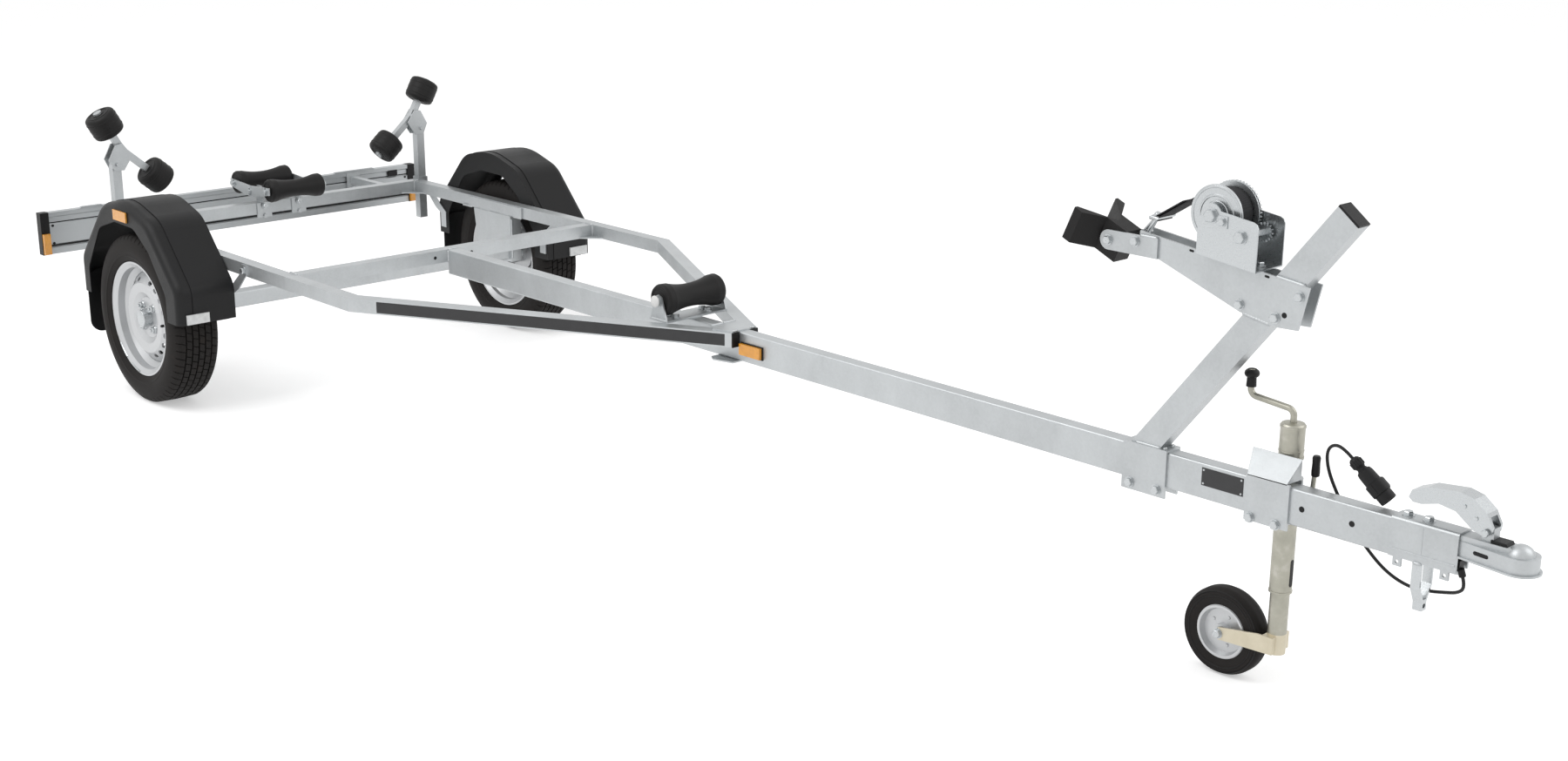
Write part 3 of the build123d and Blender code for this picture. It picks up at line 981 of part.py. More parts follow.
LOOP_X = FRAME_X + 3946.0
with BuildPart() as safety_loop:
    with BuildSketch(Plane.YZ.offset(LOOP_X - 10)):
        low = BEAM_BOTTOM + 2
        Polygon((-25, low), (-25, 358), (-9, 326), (-9, 308), (9, 308), (9, 326), (25, 358), (25, low),
                (20, low), (20, 360), (5, 331), (-5, 331), (-20, 360), (-20, low), align=None)
        with Locations((0, 318)):
            Circle(5, mode=Mode.SUBTRACT)
    extrude(amount=20)
finish(safety_loop, "safety_loop")

# ---------------------------------------------------------------- lead and plug
CORD_R = 3.5
PLUG_TIP = (FRAME_X + 3852.0, 16.0, 507.0)
PLUG_TAIL = (FRAME_X + 3768.0, 8.0, 577.0)
CORD_ROUTE = ((4030, 0, 402), (4036, 3, 380), (4018, 12, 361), (3985, 23, 349), (3945, 33, 337),
              (3900, 36, 332), (3847, 38, 348), (3797, 39, 386), (3755, 39, 434), (3722, 38, 483),
              (3700, 35, 527), (3697, 27, 567), (3715, 15, 592))
plug_aim = (Vector(*PLUG_TIP) - Vector(*PLUG_TAIL)).normalized()
cord_points = [(FRAME_X + x, y, z) for x, y, z in CORD_ROUTE]
cord_points += [tuple(Vector(*PLUG_TAIL) - plug_aim * 30), PLUG_TAIL]
cord_out = (Vector(*cord_points[1]) - Vector(*cord_points[0])).normalized()

with BuildPart() as cord_gland:
    block((BEAM_FRONT_X, BEAM_FRONT_X + 16), (-9, 9), (BEAM_BOTTOM + 3, BEAM_BOTTOM + 24))
    rod(tuple(Vector(*cord_points[0]) - cord_out * 16), cord_points[0], 7)
    block((BEAM_FRONT_X - 20, BEAM_FRONT_X), (-20, 20), (BEAM_BOTTOM - 20, FRAME_TOP), Mode.SUBTRACT)
finish(cord_gland, "cord_gland")


def cord_radii(points):
    """Arc radius at each inner point: 0.45 of the shorter run over the tangent of half the turn."""
    radii = []
    for before, here, after in zip(points, points[1:], points[2:]):
        first = Vector(*here) - Vector(*before)
        second = Vector(*after) - Vector(*here)
        turn = math.radians(first.get_angle(second))
        radii.append(0.45 * min(first.length, second.length) / math.tan(turn / 2))
    return radii


radii = cord_radii(cord_points)
with BuildPart() as cord:
    with BuildLine() as path:
        FilletPolyline(*cord_points, radius=radii)
    with BuildSketch(Plane(origin=cord_points[0], z_dir=path.wire() % 0)):
        Circle(CORD_R)
    sweep(transition=Transition.ROUND)
finish(cord, "cord")
cord_length = path.wire().length
print("cord radii", [round(radius, 1) for radius in radii])
print("cord length", round(cord_length, 1), "volume ratio",
      round(cord.part.volume / (math.pi * CORD_R ** 2 * cord_length), 5))

with BuildPart() as plug:
    tail = Vector(*PLUG_TAIL)
    rod(tuple(tail), tuple(tail + plug_aim * 22), 11)
    rod(tuple(tail + plug_aim * 22), tuple(tail + plug_aim * 62), 19)
    rod(tuple(tail + plug_aim * 62), PLUG_TIP, 21)
finish(plug, "plug")
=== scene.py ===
import math

import bmesh
import bpy
from bpy.props import FloatProperty, FloatVectorProperty, IntProperty, PointerProperty
from mathutils import Matrix, Vector


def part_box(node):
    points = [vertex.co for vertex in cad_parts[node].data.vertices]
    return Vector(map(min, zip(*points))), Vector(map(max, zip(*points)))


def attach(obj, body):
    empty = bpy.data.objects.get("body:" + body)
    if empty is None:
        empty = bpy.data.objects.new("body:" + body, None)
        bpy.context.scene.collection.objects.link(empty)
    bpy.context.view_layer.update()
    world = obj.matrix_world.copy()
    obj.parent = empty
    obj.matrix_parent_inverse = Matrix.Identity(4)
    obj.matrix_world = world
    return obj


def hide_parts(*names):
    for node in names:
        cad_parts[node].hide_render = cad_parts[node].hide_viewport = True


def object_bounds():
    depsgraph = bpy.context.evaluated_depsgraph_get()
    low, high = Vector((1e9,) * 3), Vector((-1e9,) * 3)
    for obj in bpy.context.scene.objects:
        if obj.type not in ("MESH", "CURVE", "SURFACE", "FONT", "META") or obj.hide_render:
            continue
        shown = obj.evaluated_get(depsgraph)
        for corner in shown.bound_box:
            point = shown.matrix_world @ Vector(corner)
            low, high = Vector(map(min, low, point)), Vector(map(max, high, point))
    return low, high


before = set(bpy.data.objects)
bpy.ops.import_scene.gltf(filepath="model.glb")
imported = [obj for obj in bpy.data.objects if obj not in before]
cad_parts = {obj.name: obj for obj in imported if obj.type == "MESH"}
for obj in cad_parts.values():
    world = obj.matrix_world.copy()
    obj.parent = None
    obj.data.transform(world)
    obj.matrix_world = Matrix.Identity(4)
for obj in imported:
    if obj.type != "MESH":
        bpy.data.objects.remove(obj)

bl_info = {
    "name": "Boat Trailer Dressing",
    "version": (1, 0, 0),
    "blender": (4, 5, 0),
    "location": "View3D > Sidebar > Trailer",
    "description": "Finishes, fastenings, tyres, lead and studio for the boat trailer",
    "category": "Object",
}

cad_box = [list(corner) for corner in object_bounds()]

# ---- places read from the frame
SIDES = {"left": 1.0, "right": -1.0}
UP = Vector((0, 0, 1))
FORWARD = Vector((1, 0, 0))
LEFT = Vector((0, 1, 0))
OUTWARDS = (LEFT, -LEFT)


def middle(node):
    """Centre of a node's box."""
    low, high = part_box(node)
    return (low + high) / 2


DRAWBAR_REACH = 4.010
# the station that the frame is measured from, behind the drawbar's front end
FRAME_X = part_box("drawbar")[1].x - DRAWBAR_REACH
FLOOR_Z = cad_box[0][2]


def at(x, y, z):
    """A point given in millimetres forward of the frame's station, to the left and up."""
    return Vector((FRAME_X + x / 1000, y / 1000, z / 1000))


def spoke(angle):
    """A unit vector in the trailer's upright plane, as a wheel's spoke at an angle."""
    return Vector((math.cos(angle), 0, math.sin(angle)))


def metres(outline):
    """An outline given in millimetres."""
    return [(u / 1000, v / 1000) for u, v in outline]


def circle(centre, radius, side, up, count):
    """Points round a centre, from side towards up."""
    angles = [2 * math.pi * step / count for step in range(count)]
    return [centre + radius * (math.cos(angle) * side + math.sin(angle) * up) for angle in angles]


def rounded(length, width):
    """A slot's outline with round ends."""
    points = []
    for end, start in ((1, -math.pi / 2), (-1, math.pi / 2)):
        for step in range(9):
            angle = start + math.pi * step / 8
            points.append((end * (length - width) / 2 + width / 2 * math.cos(angle),
                           width / 2 * math.sin(angle)))
    return points


def arm_top(x):
    """Height of the winch arm's sloped top edge at a station, in millimetres."""
    rear, rear_height, fall, run = 3240, 963, 52, 420
    return rear_height - (x - rear) * fall / run


def station(point):
    """The same three millimetre numbers of a point in metres."""
    return ((point.x - FRAME_X) * 1000, point.y * 1000, point.z * 1000)


WHEEL = {name: station(middle(f"tyre_{name}")) for name in SIDES}
JOCKEY = station(middle("jockey_tyre"))
DRUM = station(middle("winch_drum"))


# ---- sizes and colours
def a_number(name, description, value):
    return FloatProperty(name=name, description=description, default=value)


def a_length(name, description, value):
    return FloatProperty(name=name, description=description, default=value, unit="LENGTH")


def an_angle(name, description, degrees):
    return FloatProperty(name=name, description=description, default=math.radians(degrees),
                         subtype="ANGLE")


def a_colour(name, description, value):
    return FloatVectorProperty(name=name, description=description, subtype="COLOR", size=3, default=value)


class TrailerSizes(bpy.types.PropertyGroup):
    bolt: a_length("Bolt", "Width of a bolt head across its flats", 0.017)
    weld: a_length("Weld", "Radius of a weld bead", 0.0035)
    tread_depth: a_length("Tread depth", "Depth of the cross cuts in the tread", 0.004)
    tread_count: IntProperty(name="Tread blocks", description="Tread blocks round a wheel", default=64)
    lead: a_length("Lead", "Diameter of the lighting lead", 0.007)


class TrailerColours(bpy.types.PropertyGroup):
    zinc: a_colour("Zinc", "Hot-dip galvanised steel", (0.50, 0.52, 0.53))
    plated: a_colour("Plated steel", "Yellow-passivated jockey wheel steel", (0.42, 0.41, 0.35))
    silver: a_colour("Wheel silver", "Silver wheel paint", (0.58, 0.59, 0.60))
    rubber: a_colour("Rubber", "Tyre rubber", (0.0085, 0.0072, 0.0066))
    plastic: a_colour("Plastic", "Black moulded plastic", (0.0035, 0.0035, 0.0038))
    board: a_colour("Board", "Extruded aluminium of the light board", (0.46, 0.48, 0.49))
    amber: a_colour("Amber", "Side lamp lens", (0.90, 0.34, 0.02))
    red: a_colour("Red", "Rear lamp lens", (0.45, 0.01, 0.01))


def sizes():
    return bpy.context.scene.trailer_sizes


def colours():
    return bpy.context.scene.trailer_colours


# ---- shader maths
class Wire:
    """A shader socket that takes part in Python sums; each operator adds its Math node."""

    def __init__(self, shader, socket):
        self.shader = shader
        self.socket = socket

    def maths(self, operation, first, second):
        return self.shader.node("ShaderNodeMath", {"operation": operation}, {0: first, 1: second})

    def __add__(self, other):
        return self.maths("ADD", self, other)

    def __radd__(self, other):
        return self.maths("ADD", other, self)

    def __mul__(self, other):
        return self.maths("MULTIPLY", self, other)

    def clamped(self, low, high):
        return self.shader.node("ShaderNodeClamp", {}, {"Value": self, "Min": low, "Max": high})


class Shader:
    """A node tree with its closing shader, and the nodes that feed it."""

    def __init__(self, owner, closing="Principled BSDF", **constants):
        self.owner = owner
        self.owner.use_nodes = True
        self.tree = owner.node_tree
        self.closing = self.tree.nodes[closing]
        self.set(**constants)

    def set(self, **values):
        """Sets or links sockets of the closing shader; underscores stand for spaces."""
        for name, value in values.items():
            self.feed(self.closing.inputs[name.replace("_", " ")], value)

    def feed(self, socket, value):
        if isinstance(value, Wire):
            self.tree.links.new(value.socket, socket)
        elif socket.type == "RGBA" and len(value) == 3:
            socket.default_value = (*value, 1.0)
        else:
            socket.default_value = value

    def node(self, kind, settings=None, values=None, output=0):
        """Adds a node: its settings first, then its sockets; returns one output as a Wire."""
        node = self.tree.nodes.new(kind)
        for name, value in (settings or {}).items():
            if name == "stops":
                for stop, (place, colour) in zip(self.stops(node, len(value)), value):
                    stop.position = place
                    stop.color = (*colour, 1.0)
            else:
                setattr(node, name, value)
        for name, value in (values or {}).items():
            self.feed(node.inputs[name], value)
        return Wire(self, node.outputs[output])

    def stops(self, node, count):
        elements = node.color_ramp.elements
        while len(elements) < count:
            elements.new(1.0)
        return elements

    def place(self, stretch=(1, 1, 1)):
        """Where a point lies on the trailer, in metres, stretched along the axes."""
        coords = self.node("ShaderNodeTexCoord", output="Object")
        return self.node("ShaderNodeVectorMath", {"operation": "MULTIPLY"}, {0: coords, 1: stretch})

    def noise(self, scale, detail=3.0, rough=0.55, stretch=(1, 1, 1)):
        return self.node("ShaderNodeTexNoise", {}, {"Vector": self.place(stretch), "Scale": scale,
                                                    "Detail": detail, "Roughness": rough})

    def cells(self, scale):
        return self.node("ShaderNodeTexVoronoi", {}, {"Vector": self.place(), "Scale": scale}, "Color")

    def bands(self, axis, per_metre):
        """Even bands square to an axis."""
        return self.node("ShaderNodeTexWave", {"bands_direction": axis, "wave_profile": "SIN"},
                         {"Vector": self.place(), "Scale": per_metre / 20 * math.pi, "Distortion": 0.0})

    def mix(self, factor, first, second):
        """Between two colours."""
        return self.node("ShaderNodeMix", {"data_type": "RGBA"}, {0: factor, 6: first, 7: second}, 2)

    def ramp(self, factor, stops):
        return self.node("ShaderNodeValToRGB", {"stops": stops}, {"Fac": factor})

    def background_seen(self):
        """1 where the camera sees the surface itself, in a mirror or through glass, else 0."""
        rays = [self.node("ShaderNodeLightPath", output=f"Is {kind} Ray")
                for kind in ("Camera", "Glossy", "Transmission")]
        return (rays[0] + rays[1] + rays[2]).clamped(0.0, 1.0)

    def bump(self, height, depth):
        self.set(Normal=self.node("ShaderNodeBump", {}, {"Height": height, "Distance": depth,
                                                         "Strength": 1.0}))
        return self


def finish_of(name, **constants):
    """A new material's shader."""
    return Shader(bpy.data.materials.new(name), **constants)


def shaded(colour, factor):
    return tuple(min(1.0, channel * factor) for channel in colour)


materials = {}


def galvanised():
    base = colours().zinc
    shader = finish_of("galvanised steel", Metallic=0.78)
    clouds = shader.noise(5.0, 4.0, 0.55)
    spangle = shader.node("ShaderNodeSeparateColor", {}, {"Color": shader.cells(190.0)})
    runs = shader.noise(26.0, 3.0, 0.5, stretch=(1, 1, 0.3))
    tone = clouds * 0.7 + spangle * 0.12 + runs * 0.25
    shader.set(Base_Color=shader.ramp(tone, [(0.30, shaded(base, 0.86)), (0.55, base),
                                             (0.80, shaded(base, 1.12))]),
               Roughness=0.34 + clouds * 0.10 + spangle * 0.06)
    return shader.bump(runs * 0.5 + spangle * 0.12, 0.0003)


def clouded(name, dark, light, clouds, rough, depth, grain=None, **constants):
    """A finish clouded between two colours: clouds and grain are (scale, detail), rough is (start, rise)."""
    shader = finish_of(name, **constants)
    tone = shader.noise(*clouds)
    start, rise = rough
    shader.set(Base_Color=shader.mix(tone, dark, light), Roughness=start + tone * rise)
    return shader.bump(shader.noise(*grain) if grain else tone, depth)


def bright_zinc():
    base = colours().zinc
    return clouded("bright zinc", shaded(base, 0.92), shaded(base, 1.12), (260.0, 2.0), (0.22, 0.14),
                   0.00015, Metallic=0.95)


def plated_steel():
    base = colours().plated
    shader = finish_of("passivated steel", Metallic=0.8)
    clouds = shader.noise(22.0, 4.0)
    shader.set(Base_Color=shader.ramp(clouds, [(0.3, shaded(base, 0.8)), (0.55, base),
                                               (0.8, (0.62, 0.60, 0.56))]),
               Roughness=0.30 + clouds * 0.2)
    return shader.bump(shader.noise(300.0, 2.0), 0.00015)


def beige_steel():
    return clouded("beige passivated steel", (0.56, 0.50, 0.37), (0.74, 0.68, 0.54), (30.0, 4.0),
                   (0.34, 0.18), 0.0002, Metallic=0.55)


def wheel_paint():
    base = colours().silver
    shader = finish_of("silver wheel paint", Metallic=0.62, Coat_Weight=0.25)
    flake = shader.noise(900.0, 1.0)
    clouds = shader.noise(12.0, 3.0)
    shader.set(Base_Color=shader.mix(flake * 0.5 + clouds * 0.3, shaded(base, 0.86), shaded(base, 1.12)),
               Roughness=0.33 + clouds * 0.12)
    return shader.bump(flake, 0.00008)


def tyre_rubber():
    base = colours().rubber
    shader = finish_of("tyre rubber", Specular_IOR_Level=0.22)
    dust = shader.noise(30.0, 4.0, 0.6)
    shader.set(Base_Color=shader.ramp(dust, [(0.3, base), (0.62, shaded(base, 1.5)),
                                             (0.85, (0.026, 0.020, 0.016))]),
               Roughness=0.58 + dust * 0.2)
    return shader.bump(shader.noise(420.0, 3.0), 0.00025)


def black_rubber():
    return clouded("roller rubber", (0.004, 0.004, 0.004), (0.013, 0.012, 0.012), (40.0, 4.0, 0.6),
                   (0.40, 0.25), 0.0002, (500.0, 3.0), Specular_IOR_Level=0.25)


def black_plastic():
    base = colours().plastic
    return clouded("black plastic", base, shaded(base, 2.2), (9.0, 3.0), (0.36, 0.22), 0.0003,
                   (700.0, 2.0), Specular_IOR_Level=0.28)


def board_aluminium():
    base = colours().board
    shader = finish_of("board aluminium", Metallic=0.75)
    drawn = shader.noise(420.0, 3.0, 0.5, stretch=(1, 0.01, 1))
    clouds = shader.noise(8.0, 3.0)
    shader.set(Base_Color=shader.mix(drawn * 0.3 + clouds * 0.5, shaded(base, 0.92), shaded(base, 1.08)),
               Roughness=0.34 + drawn * 0.10)
    return shader.bump(drawn, 0.0001)


def lens(name, colour):
    shader = finish_of(name, Coat_Weight=0.6)
    prisms = shader.node("ShaderNodeTexChecker", {}, {"Vector": shader.place(), "Scale": 420.0}, "Fac")
    depth = shader.noise(60.0, 2.0)
    shader.set(Base_Color=shader.mix(depth, shaded(colour, 0.75), shaded(colour, 1.3)), Roughness=0.16)
    return shader.bump(prisms, 0.0004)


def webbing():
    shader = finish_of("strap webbing")
    weft = shader.bands("X", 900.0)
    warp = shader.bands("Y", 520.0)
    fuzz = shader.noise(900.0, 2.0)
    weave = weft * 0.5 + warp * 0.5
    tone = weave * 0.7 + fuzz * 0.3
    shader.set(Base_Color=shader.mix(tone, (0.004, 0.004, 0.005), (0.022, 0.022, 0.025)),
               Roughness=0.75 + fuzz * 0.15)
    return shader.bump(weave, 0.0008)


def cable_sheath():
    return clouded("cable sheath", (0.004, 0.004, 0.004), (0.010, 0.010, 0.011), (60.0, 3.0),
                   (0.34, 0.20), 0.0001, (800.0, 2.0), Specular_IOR_Level=0.3)


def white_nylon():
    return clouded("white nylon", (0.68, 0.68, 0.67), (0.80, 0.80, 0.79), (60.0, 3.0), (0.38, 0.15), 0.0002)


def plate_black():
    return clouded("blank plate", (0.012, 0.012, 0.013), (0.030, 0.030, 0.032), (30.0, 3.0), (0.28, 0.20),
                   0.0001, (400.0, 2.0))


def sewing_thread():
    return clouded("sewing thread", (0.30, 0.29, 0.27), (0.50, 0.49, 0.46), (900.0, 2.0), (0.70, 0.20),
                   0.0002)


FINISHES = {
    "galvanised": galvanised, "bright": bright_zinc, "plated": plated_steel, "beige": beige_steel,
    "silver": wheel_paint, "tyre": tyre_rubber, "rubber": black_rubber,
    "plastic": black_plastic, "board": board_aluminium, "webbing": webbing, "cable": cable_sheath,
    "nylon": white_nylon, "plate": plate_black, "thread": sewing_thread,
    "amber": lambda: lens("amber lens", colours().amber),
    "white": lambda: lens("white reflector", (0.74, 0.75, 0.75)),
    "red": lambda: lens("red lens", colours().red),
}

NODE_FINISH = {
    "galvanised": ("drawbar side_rails crossmembers gusset_plates axle_beam axle_hangers axle_arms "
                   "fender_stays side_posts rocker_left rocker_right keel_swing roller_brackets board_arms "
                   "winch_post winch_arm stop_brackets coupling_body jockey_clamp"),
    "bright": "winch_frame winch_drum winch_crank strap_hook safety_loop coupling_handle",
    "plated": "clamp_lever jockey_outer jockey_crank jockey_inner",
    "beige": "jockey_fork",
    "silver": "rim_left rim_right hub_left hub_right jockey_rim",
    "tyre": "tyre_left tyre_right jockey_tyre",
    "rubber": ("side_roller_upper_left side_roller_lower_left side_roller_upper_right "
               "side_roller_lower_right keel_roller_front keel_roller_rear nose_roller bow_stop"),
    "plastic": "fenders mudflaps end_caps crank_grip jockey_knob cord_gland plug",
    "board": "light_board",
    "amber": "amber_markers",
    "white": "front_reflectors",
    "red": "rear_lamps",
    "webbing": "strap strap_coil",
    "cable": "cord",
}


# ---- forms
class Form:
    """A mesh that grows by turned, cut and drawn shapes, in the trailer's own metres."""

    def __init__(self):
        self.mesh = bmesh.new()

    def skin(self, rings, ends=True):
        """Faces between rings of points; a ring of one point closes the form there."""
        loops = [[self.mesh.verts.new(point) for point in ring] for ring in rings]
        for here, there in zip(loops, loops[1:]):
            count = max(len(here), len(there))
            for step in range(count):
                quad = [here[step % len(here)], here[(step + 1) % len(here)],
                        there[(step + 1) % len(there)], there[step % len(there)]]
                corners = [vert for place, vert in enumerate(quad) if vert not in quad[:place]]
                if len(corners) > 2:
                    self.mesh.faces.new(corners)
        if ends:
            for loop in (loops[0], loops[-1]):
                if len(loop) > 2:
                    self.mesh.faces.new(loop)
        return self

    def turned(self, profile, origin, axis, segments):
        """A profile of (radius, height) turned about an axis through origin."""
        turn = axis.normalized().to_track_quat("Z", "Y")
        angles = [2 * math.pi * step / segments for step in range(segments)]
        rings = []
        for radius, height in profile:
            points = [Vector((radius * math.cos(a), radius * math.sin(a), height))
                      for a in (angles if radius else angles[:1])]
            rings.append([origin + turn @ point for point in points])
        return self.skin(rings, ends=False)

    def disc(self, radius, height, origin, axis, segments=20):
        """A flat round plate, standing on origin."""
        return self.turned([(0, 0), (radius, 0), (radius, height), (0, height)], origin, axis, segments)

    def rivet(self, radius, shoulder, rise, height, origin, axis, segments=12):
        """A round head that narrows to its shoulder and closes at its height."""
        return self.turned([(0, 0), (radius, 0), (shoulder, rise), (0, height)], origin, axis, segments)

    def ridge(self, radius, foot, crest, low, high, origin, axis, segments):
        """A ring on an end face, with its half widths at the foot and the crest, from low to high."""
        return self.turned([(radius + foot, low), (radius + crest, high), (radius - crest, high),
                            (radius - foot, low)], origin, axis, segments)

    def hoop(self, inner, outer, foot, crest, origin, axis, segments):
        """A band round a shaft, with its half widths at the foot and the crest."""
        return self.turned([(inner, -foot), (outer, -crest), (outer, crest), (inner, foot)],
                           origin, axis, segments)

    def cut(self, outline, low, high, axis, origin, across):
        """A plate: an outline of (across, up) drawn from low to high along an axis."""
        out = axis.normalized()
        right = across.normalized()
        up = out.cross(right)
        face = [origin + right * u + up * v for u, v in outline]
        return self.skin([[point + out * depth for point in face] for depth in (low, high)])

    def bar(self, points, radius, segments=10):
        """A round bar through points."""
        rings = []
        side = None
        for place, here in enumerate(points):
            ahead = points[min(place + 1, len(points) - 1)] - points[max(place - 1, 0)]
            ahead.normalize()
            side = side - ahead * side.dot(ahead) if side else ahead.orthogonal()
            side.normalize()
            rings.append(circle(here, radius, side, ahead.cross(side), segments))
        return self.skin(rings)

    def block(self, low, high):
        """A box between two corners."""
        (x0, y0, z0), (x1, y1, z1) = low, high
        return self.skin([[(x0, y0, z), (x1, y0, z), (x1, y1, z), (x0, y1, z)] for z in (z0, z1)])

    def piece(self, name, body, finish, smooth=40.0, bevel=0.0):
        """Turns the form into an object that rides on a body."""
        bmesh.ops.remove_doubles(self.mesh, verts=self.mesh.verts, dist=1e-6)
        bmesh.ops.recalc_face_normals(self.mesh, faces=self.mesh.faces)
        mesh = bpy.data.meshes.new(name)
        self.mesh.to_mesh(mesh)
        self.mesh.free()
        return dress(bpy.data.objects.new(name, mesh), body, finish, smooth, bevel)


def dress(piece, body, finish, smooth=40.0, bevel=0.0):
    """Links a piece, shades it, gives it its finish and lets it ride."""
    bpy.context.scene.collection.objects.link(piece)
    piece.data.materials.append(materials[finish])
    if piece.type == "MESH":
        piece.data.polygons.foreach_set("use_smooth", [True] * len(piece.data.polygons))
        piece.data.set_sharp_from_angle(angle=math.radians(smooth))
    if bevel:
        soften(piece, bevel)
    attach(piece, body)
    return piece


def soften(piece, width):
    """Rounds the sharp edges that a press brake or saw leaves."""
    modifier = piece.modifiers.new("edges", "BEVEL")
    modifier.width = width
    modifier.segments = 2
    modifier.limit_method = "ANGLE"
    modifier.angle_limit = math.radians(40)
    modifier.harden_normals = True


def hexagon(form, origin, axis, across, height):
    """A bolt head with its chamfer and the washer under it."""
    radius = across / math.sqrt(3)
    washer, foot = 0.0016, 0.0014
    top = foot + height
    form.disc(across * 0.72, washer, origin, axis)
    form.turned([(0, foot), (radius, foot), (radius, foot + height * 0.8), (radius * 0.86, top),
                 (0, top)], origin, axis, 6)


def bead(form, start, end, radius):
    """A hand-laid weld: a low rope of overlapping ripples, thinner at both ends."""
    ripple, thin, pitch = 0.22, 0.55, 0.9
    count = max(4, int((end - start).length / (radius * pitch)))
    along = (end - start).normalized()
    side = along.orthogonal().normalized()
    up = along.cross(side)
    rings = []
    for place in range(count + 1):
        here = start.lerp(end, place / count)
        swell = radius * (1.0 + ripple * (place % 2)) * (thin if place in (0, count) else 1.0)
        rings.append(circle(here, swell, side, up, 8))
    form.skin(rings)


# ---- operators
class TRAILER_OT_finishes(bpy.types.Operator):
    """Makes the finishes and gives each CAD node its own"""
    bl_idname = "trailer.finishes"
    bl_label = "Finishes"

    def execute(self, context):
        for name, make in FINISHES.items():
            materials[name] = make().owner
        for finish, names in NODE_FINISH.items():
            for name in names.split():
                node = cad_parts[name]
                node.data.materials.clear()
                node.data.materials.append(materials[finish])
        return {"FINISHED"}


# the lens, in pixels of a render: its focal length, and the row it is centred on
RENDER_WIDTH = 1800.0
FOCAL_LENGTH = 2274.3
CENTRE_ROW = 426.7
MIDDLE_ROW = 437.0


class TRAILER_OT_camera(bpy.types.Operator):
    """Places the camera three-quarters on, ahead of the trailer's right side"""
    bl_idname = "trailer.camera"
    bl_label = "Camera"
    place: FloatVectorProperty(name="Place", description="Camera place", size=3, subtype="TRANSLATION",
                               default=(FRAME_X + 5.7413, -3.413, 1.829))
    azimuth: an_angle("Azimuth", "Round from behind", 46.8)
    elevation: an_angle("Elevation", "Above the horizon", 15.9)
    roll: an_angle("Roll", "Tilt of the camera", -0.3)

    def execute(self, context):
        data = bpy.data.cameras.new("camera")
        data.sensor_width = 36.0
        data.lens = FOCAL_LENGTH * data.sensor_width / RENDER_WIDTH
        data.shift_y = (CENTRE_ROW - MIDDLE_ROW) / RENDER_WIDTH
        data.clip_end = 60.0
        camera = bpy.data.objects.new("camera", data)
        back = Vector((math.sin(self.azimuth) * math.cos(self.elevation),
                       -math.cos(self.azimuth) * math.cos(self.elevation), math.sin(self.elevation)))
        right = (-back).cross(UP).normalized()
        up = right.cross(-back)
        turn = Matrix((right, up, back)).transposed() @ Matrix.Rotation(-self.roll, 3, "Z")
        camera.matrix_world = Matrix.Translation(self.place) @ turn.to_4x4()
        context.scene.collection.objects.link(camera)
        context.scene.camera = camera
        return {"FINISHED"}


class TRAILER_OT_stage(bpy.types.Operator):
    """Lays the pale floor and hangs the studio lamps"""
    bl_idname = "trailer.stage"
    bl_label = "Stage"
    reach: a_length("Reach", "Half the floor's width", 30.0)
    sky_level: a_number("Sky level", "How brightly the room lights the trailer", 0.65)

    def execute(self, context):
        context.scene.view_settings.view_transform = "Standard"
        self.floor(context)
        self.sky(context)
        self.lamp(context, "key", (-1.5, -3.5, 5.0), 4.0, 150.0)
        self.lamp(context, "fill", (4.5, 2.5, 4.0), 3.5, 60.0)
        return {"FINISHED"}

    def floor(self, context):
        mesh = bpy.data.meshes.new("floor")
        span = self.reach
        corners = [(x * span, y * span, FLOOR_Z) for x, y in ((-1, -1), (1, -1), (1, 1), (-1, 1))]
        mesh.from_pydata(corners, [], [(0, 1, 2, 3)])
        piece = bpy.data.objects.new("floor", mesh)
        context.scene.collection.objects.link(piece)
        shader = finish_of("studio floor", Roughness=0.9, Specular_IOR_Level=0.1)
        glow = shader.mix(shader.background_seen(), (0, 0, 0), (0.42, 0.42, 0.42))
        shader.set(Base_Color=(0.86, 0.86, 0.86), Emission_Color=glow, Emission_Strength=1.0)
        mesh.materials.append(shader.owner)

    def sky(self, context):
        context.scene.world = bpy.data.worlds.new("studio")
        shader = Shader(context.scene.world, "Background", Strength=1.0)
        shader.set(Color=shader.mix(shader.background_seen(), (self.sky_level,) * 3, (1, 1, 1)))

    def lamp(self, context, name, place, size, power):
        data = bpy.data.lights.new(name, "AREA")
        data.shape = "SQUARE"
        data.size = size
        data.energy = power
        lamp = bpy.data.objects.new(name, data)
        lamp.location = place
        lamp.rotation_euler = (Vector((0, 0, 0.4)) - Vector(place)).to_track_quat("-Z", "Y").to_euler()
        context.scene.collection.objects.link(lamp)


# the lead's route, in millimetres from the frame's station, from the gland round to the parked plug
LEAD_ROUTE = ((4030, 0, 402), (4036, 3, 380), (4018, 12, 361), (3985, 23, 349), (3945, 33, 337),
              (3900, 36, 332), (3847, 38, 348), (3797, 39, 386), (3755, 39, 434), (3722, 38, 483),
              (3700, 35, 527), (3697, 27, 567), (3715, 15, 592))
PLUG_TIP = (3852.0, 16.0, 507.0)
PLUG_TAIL = (3768.0, 8.0, 577.0)


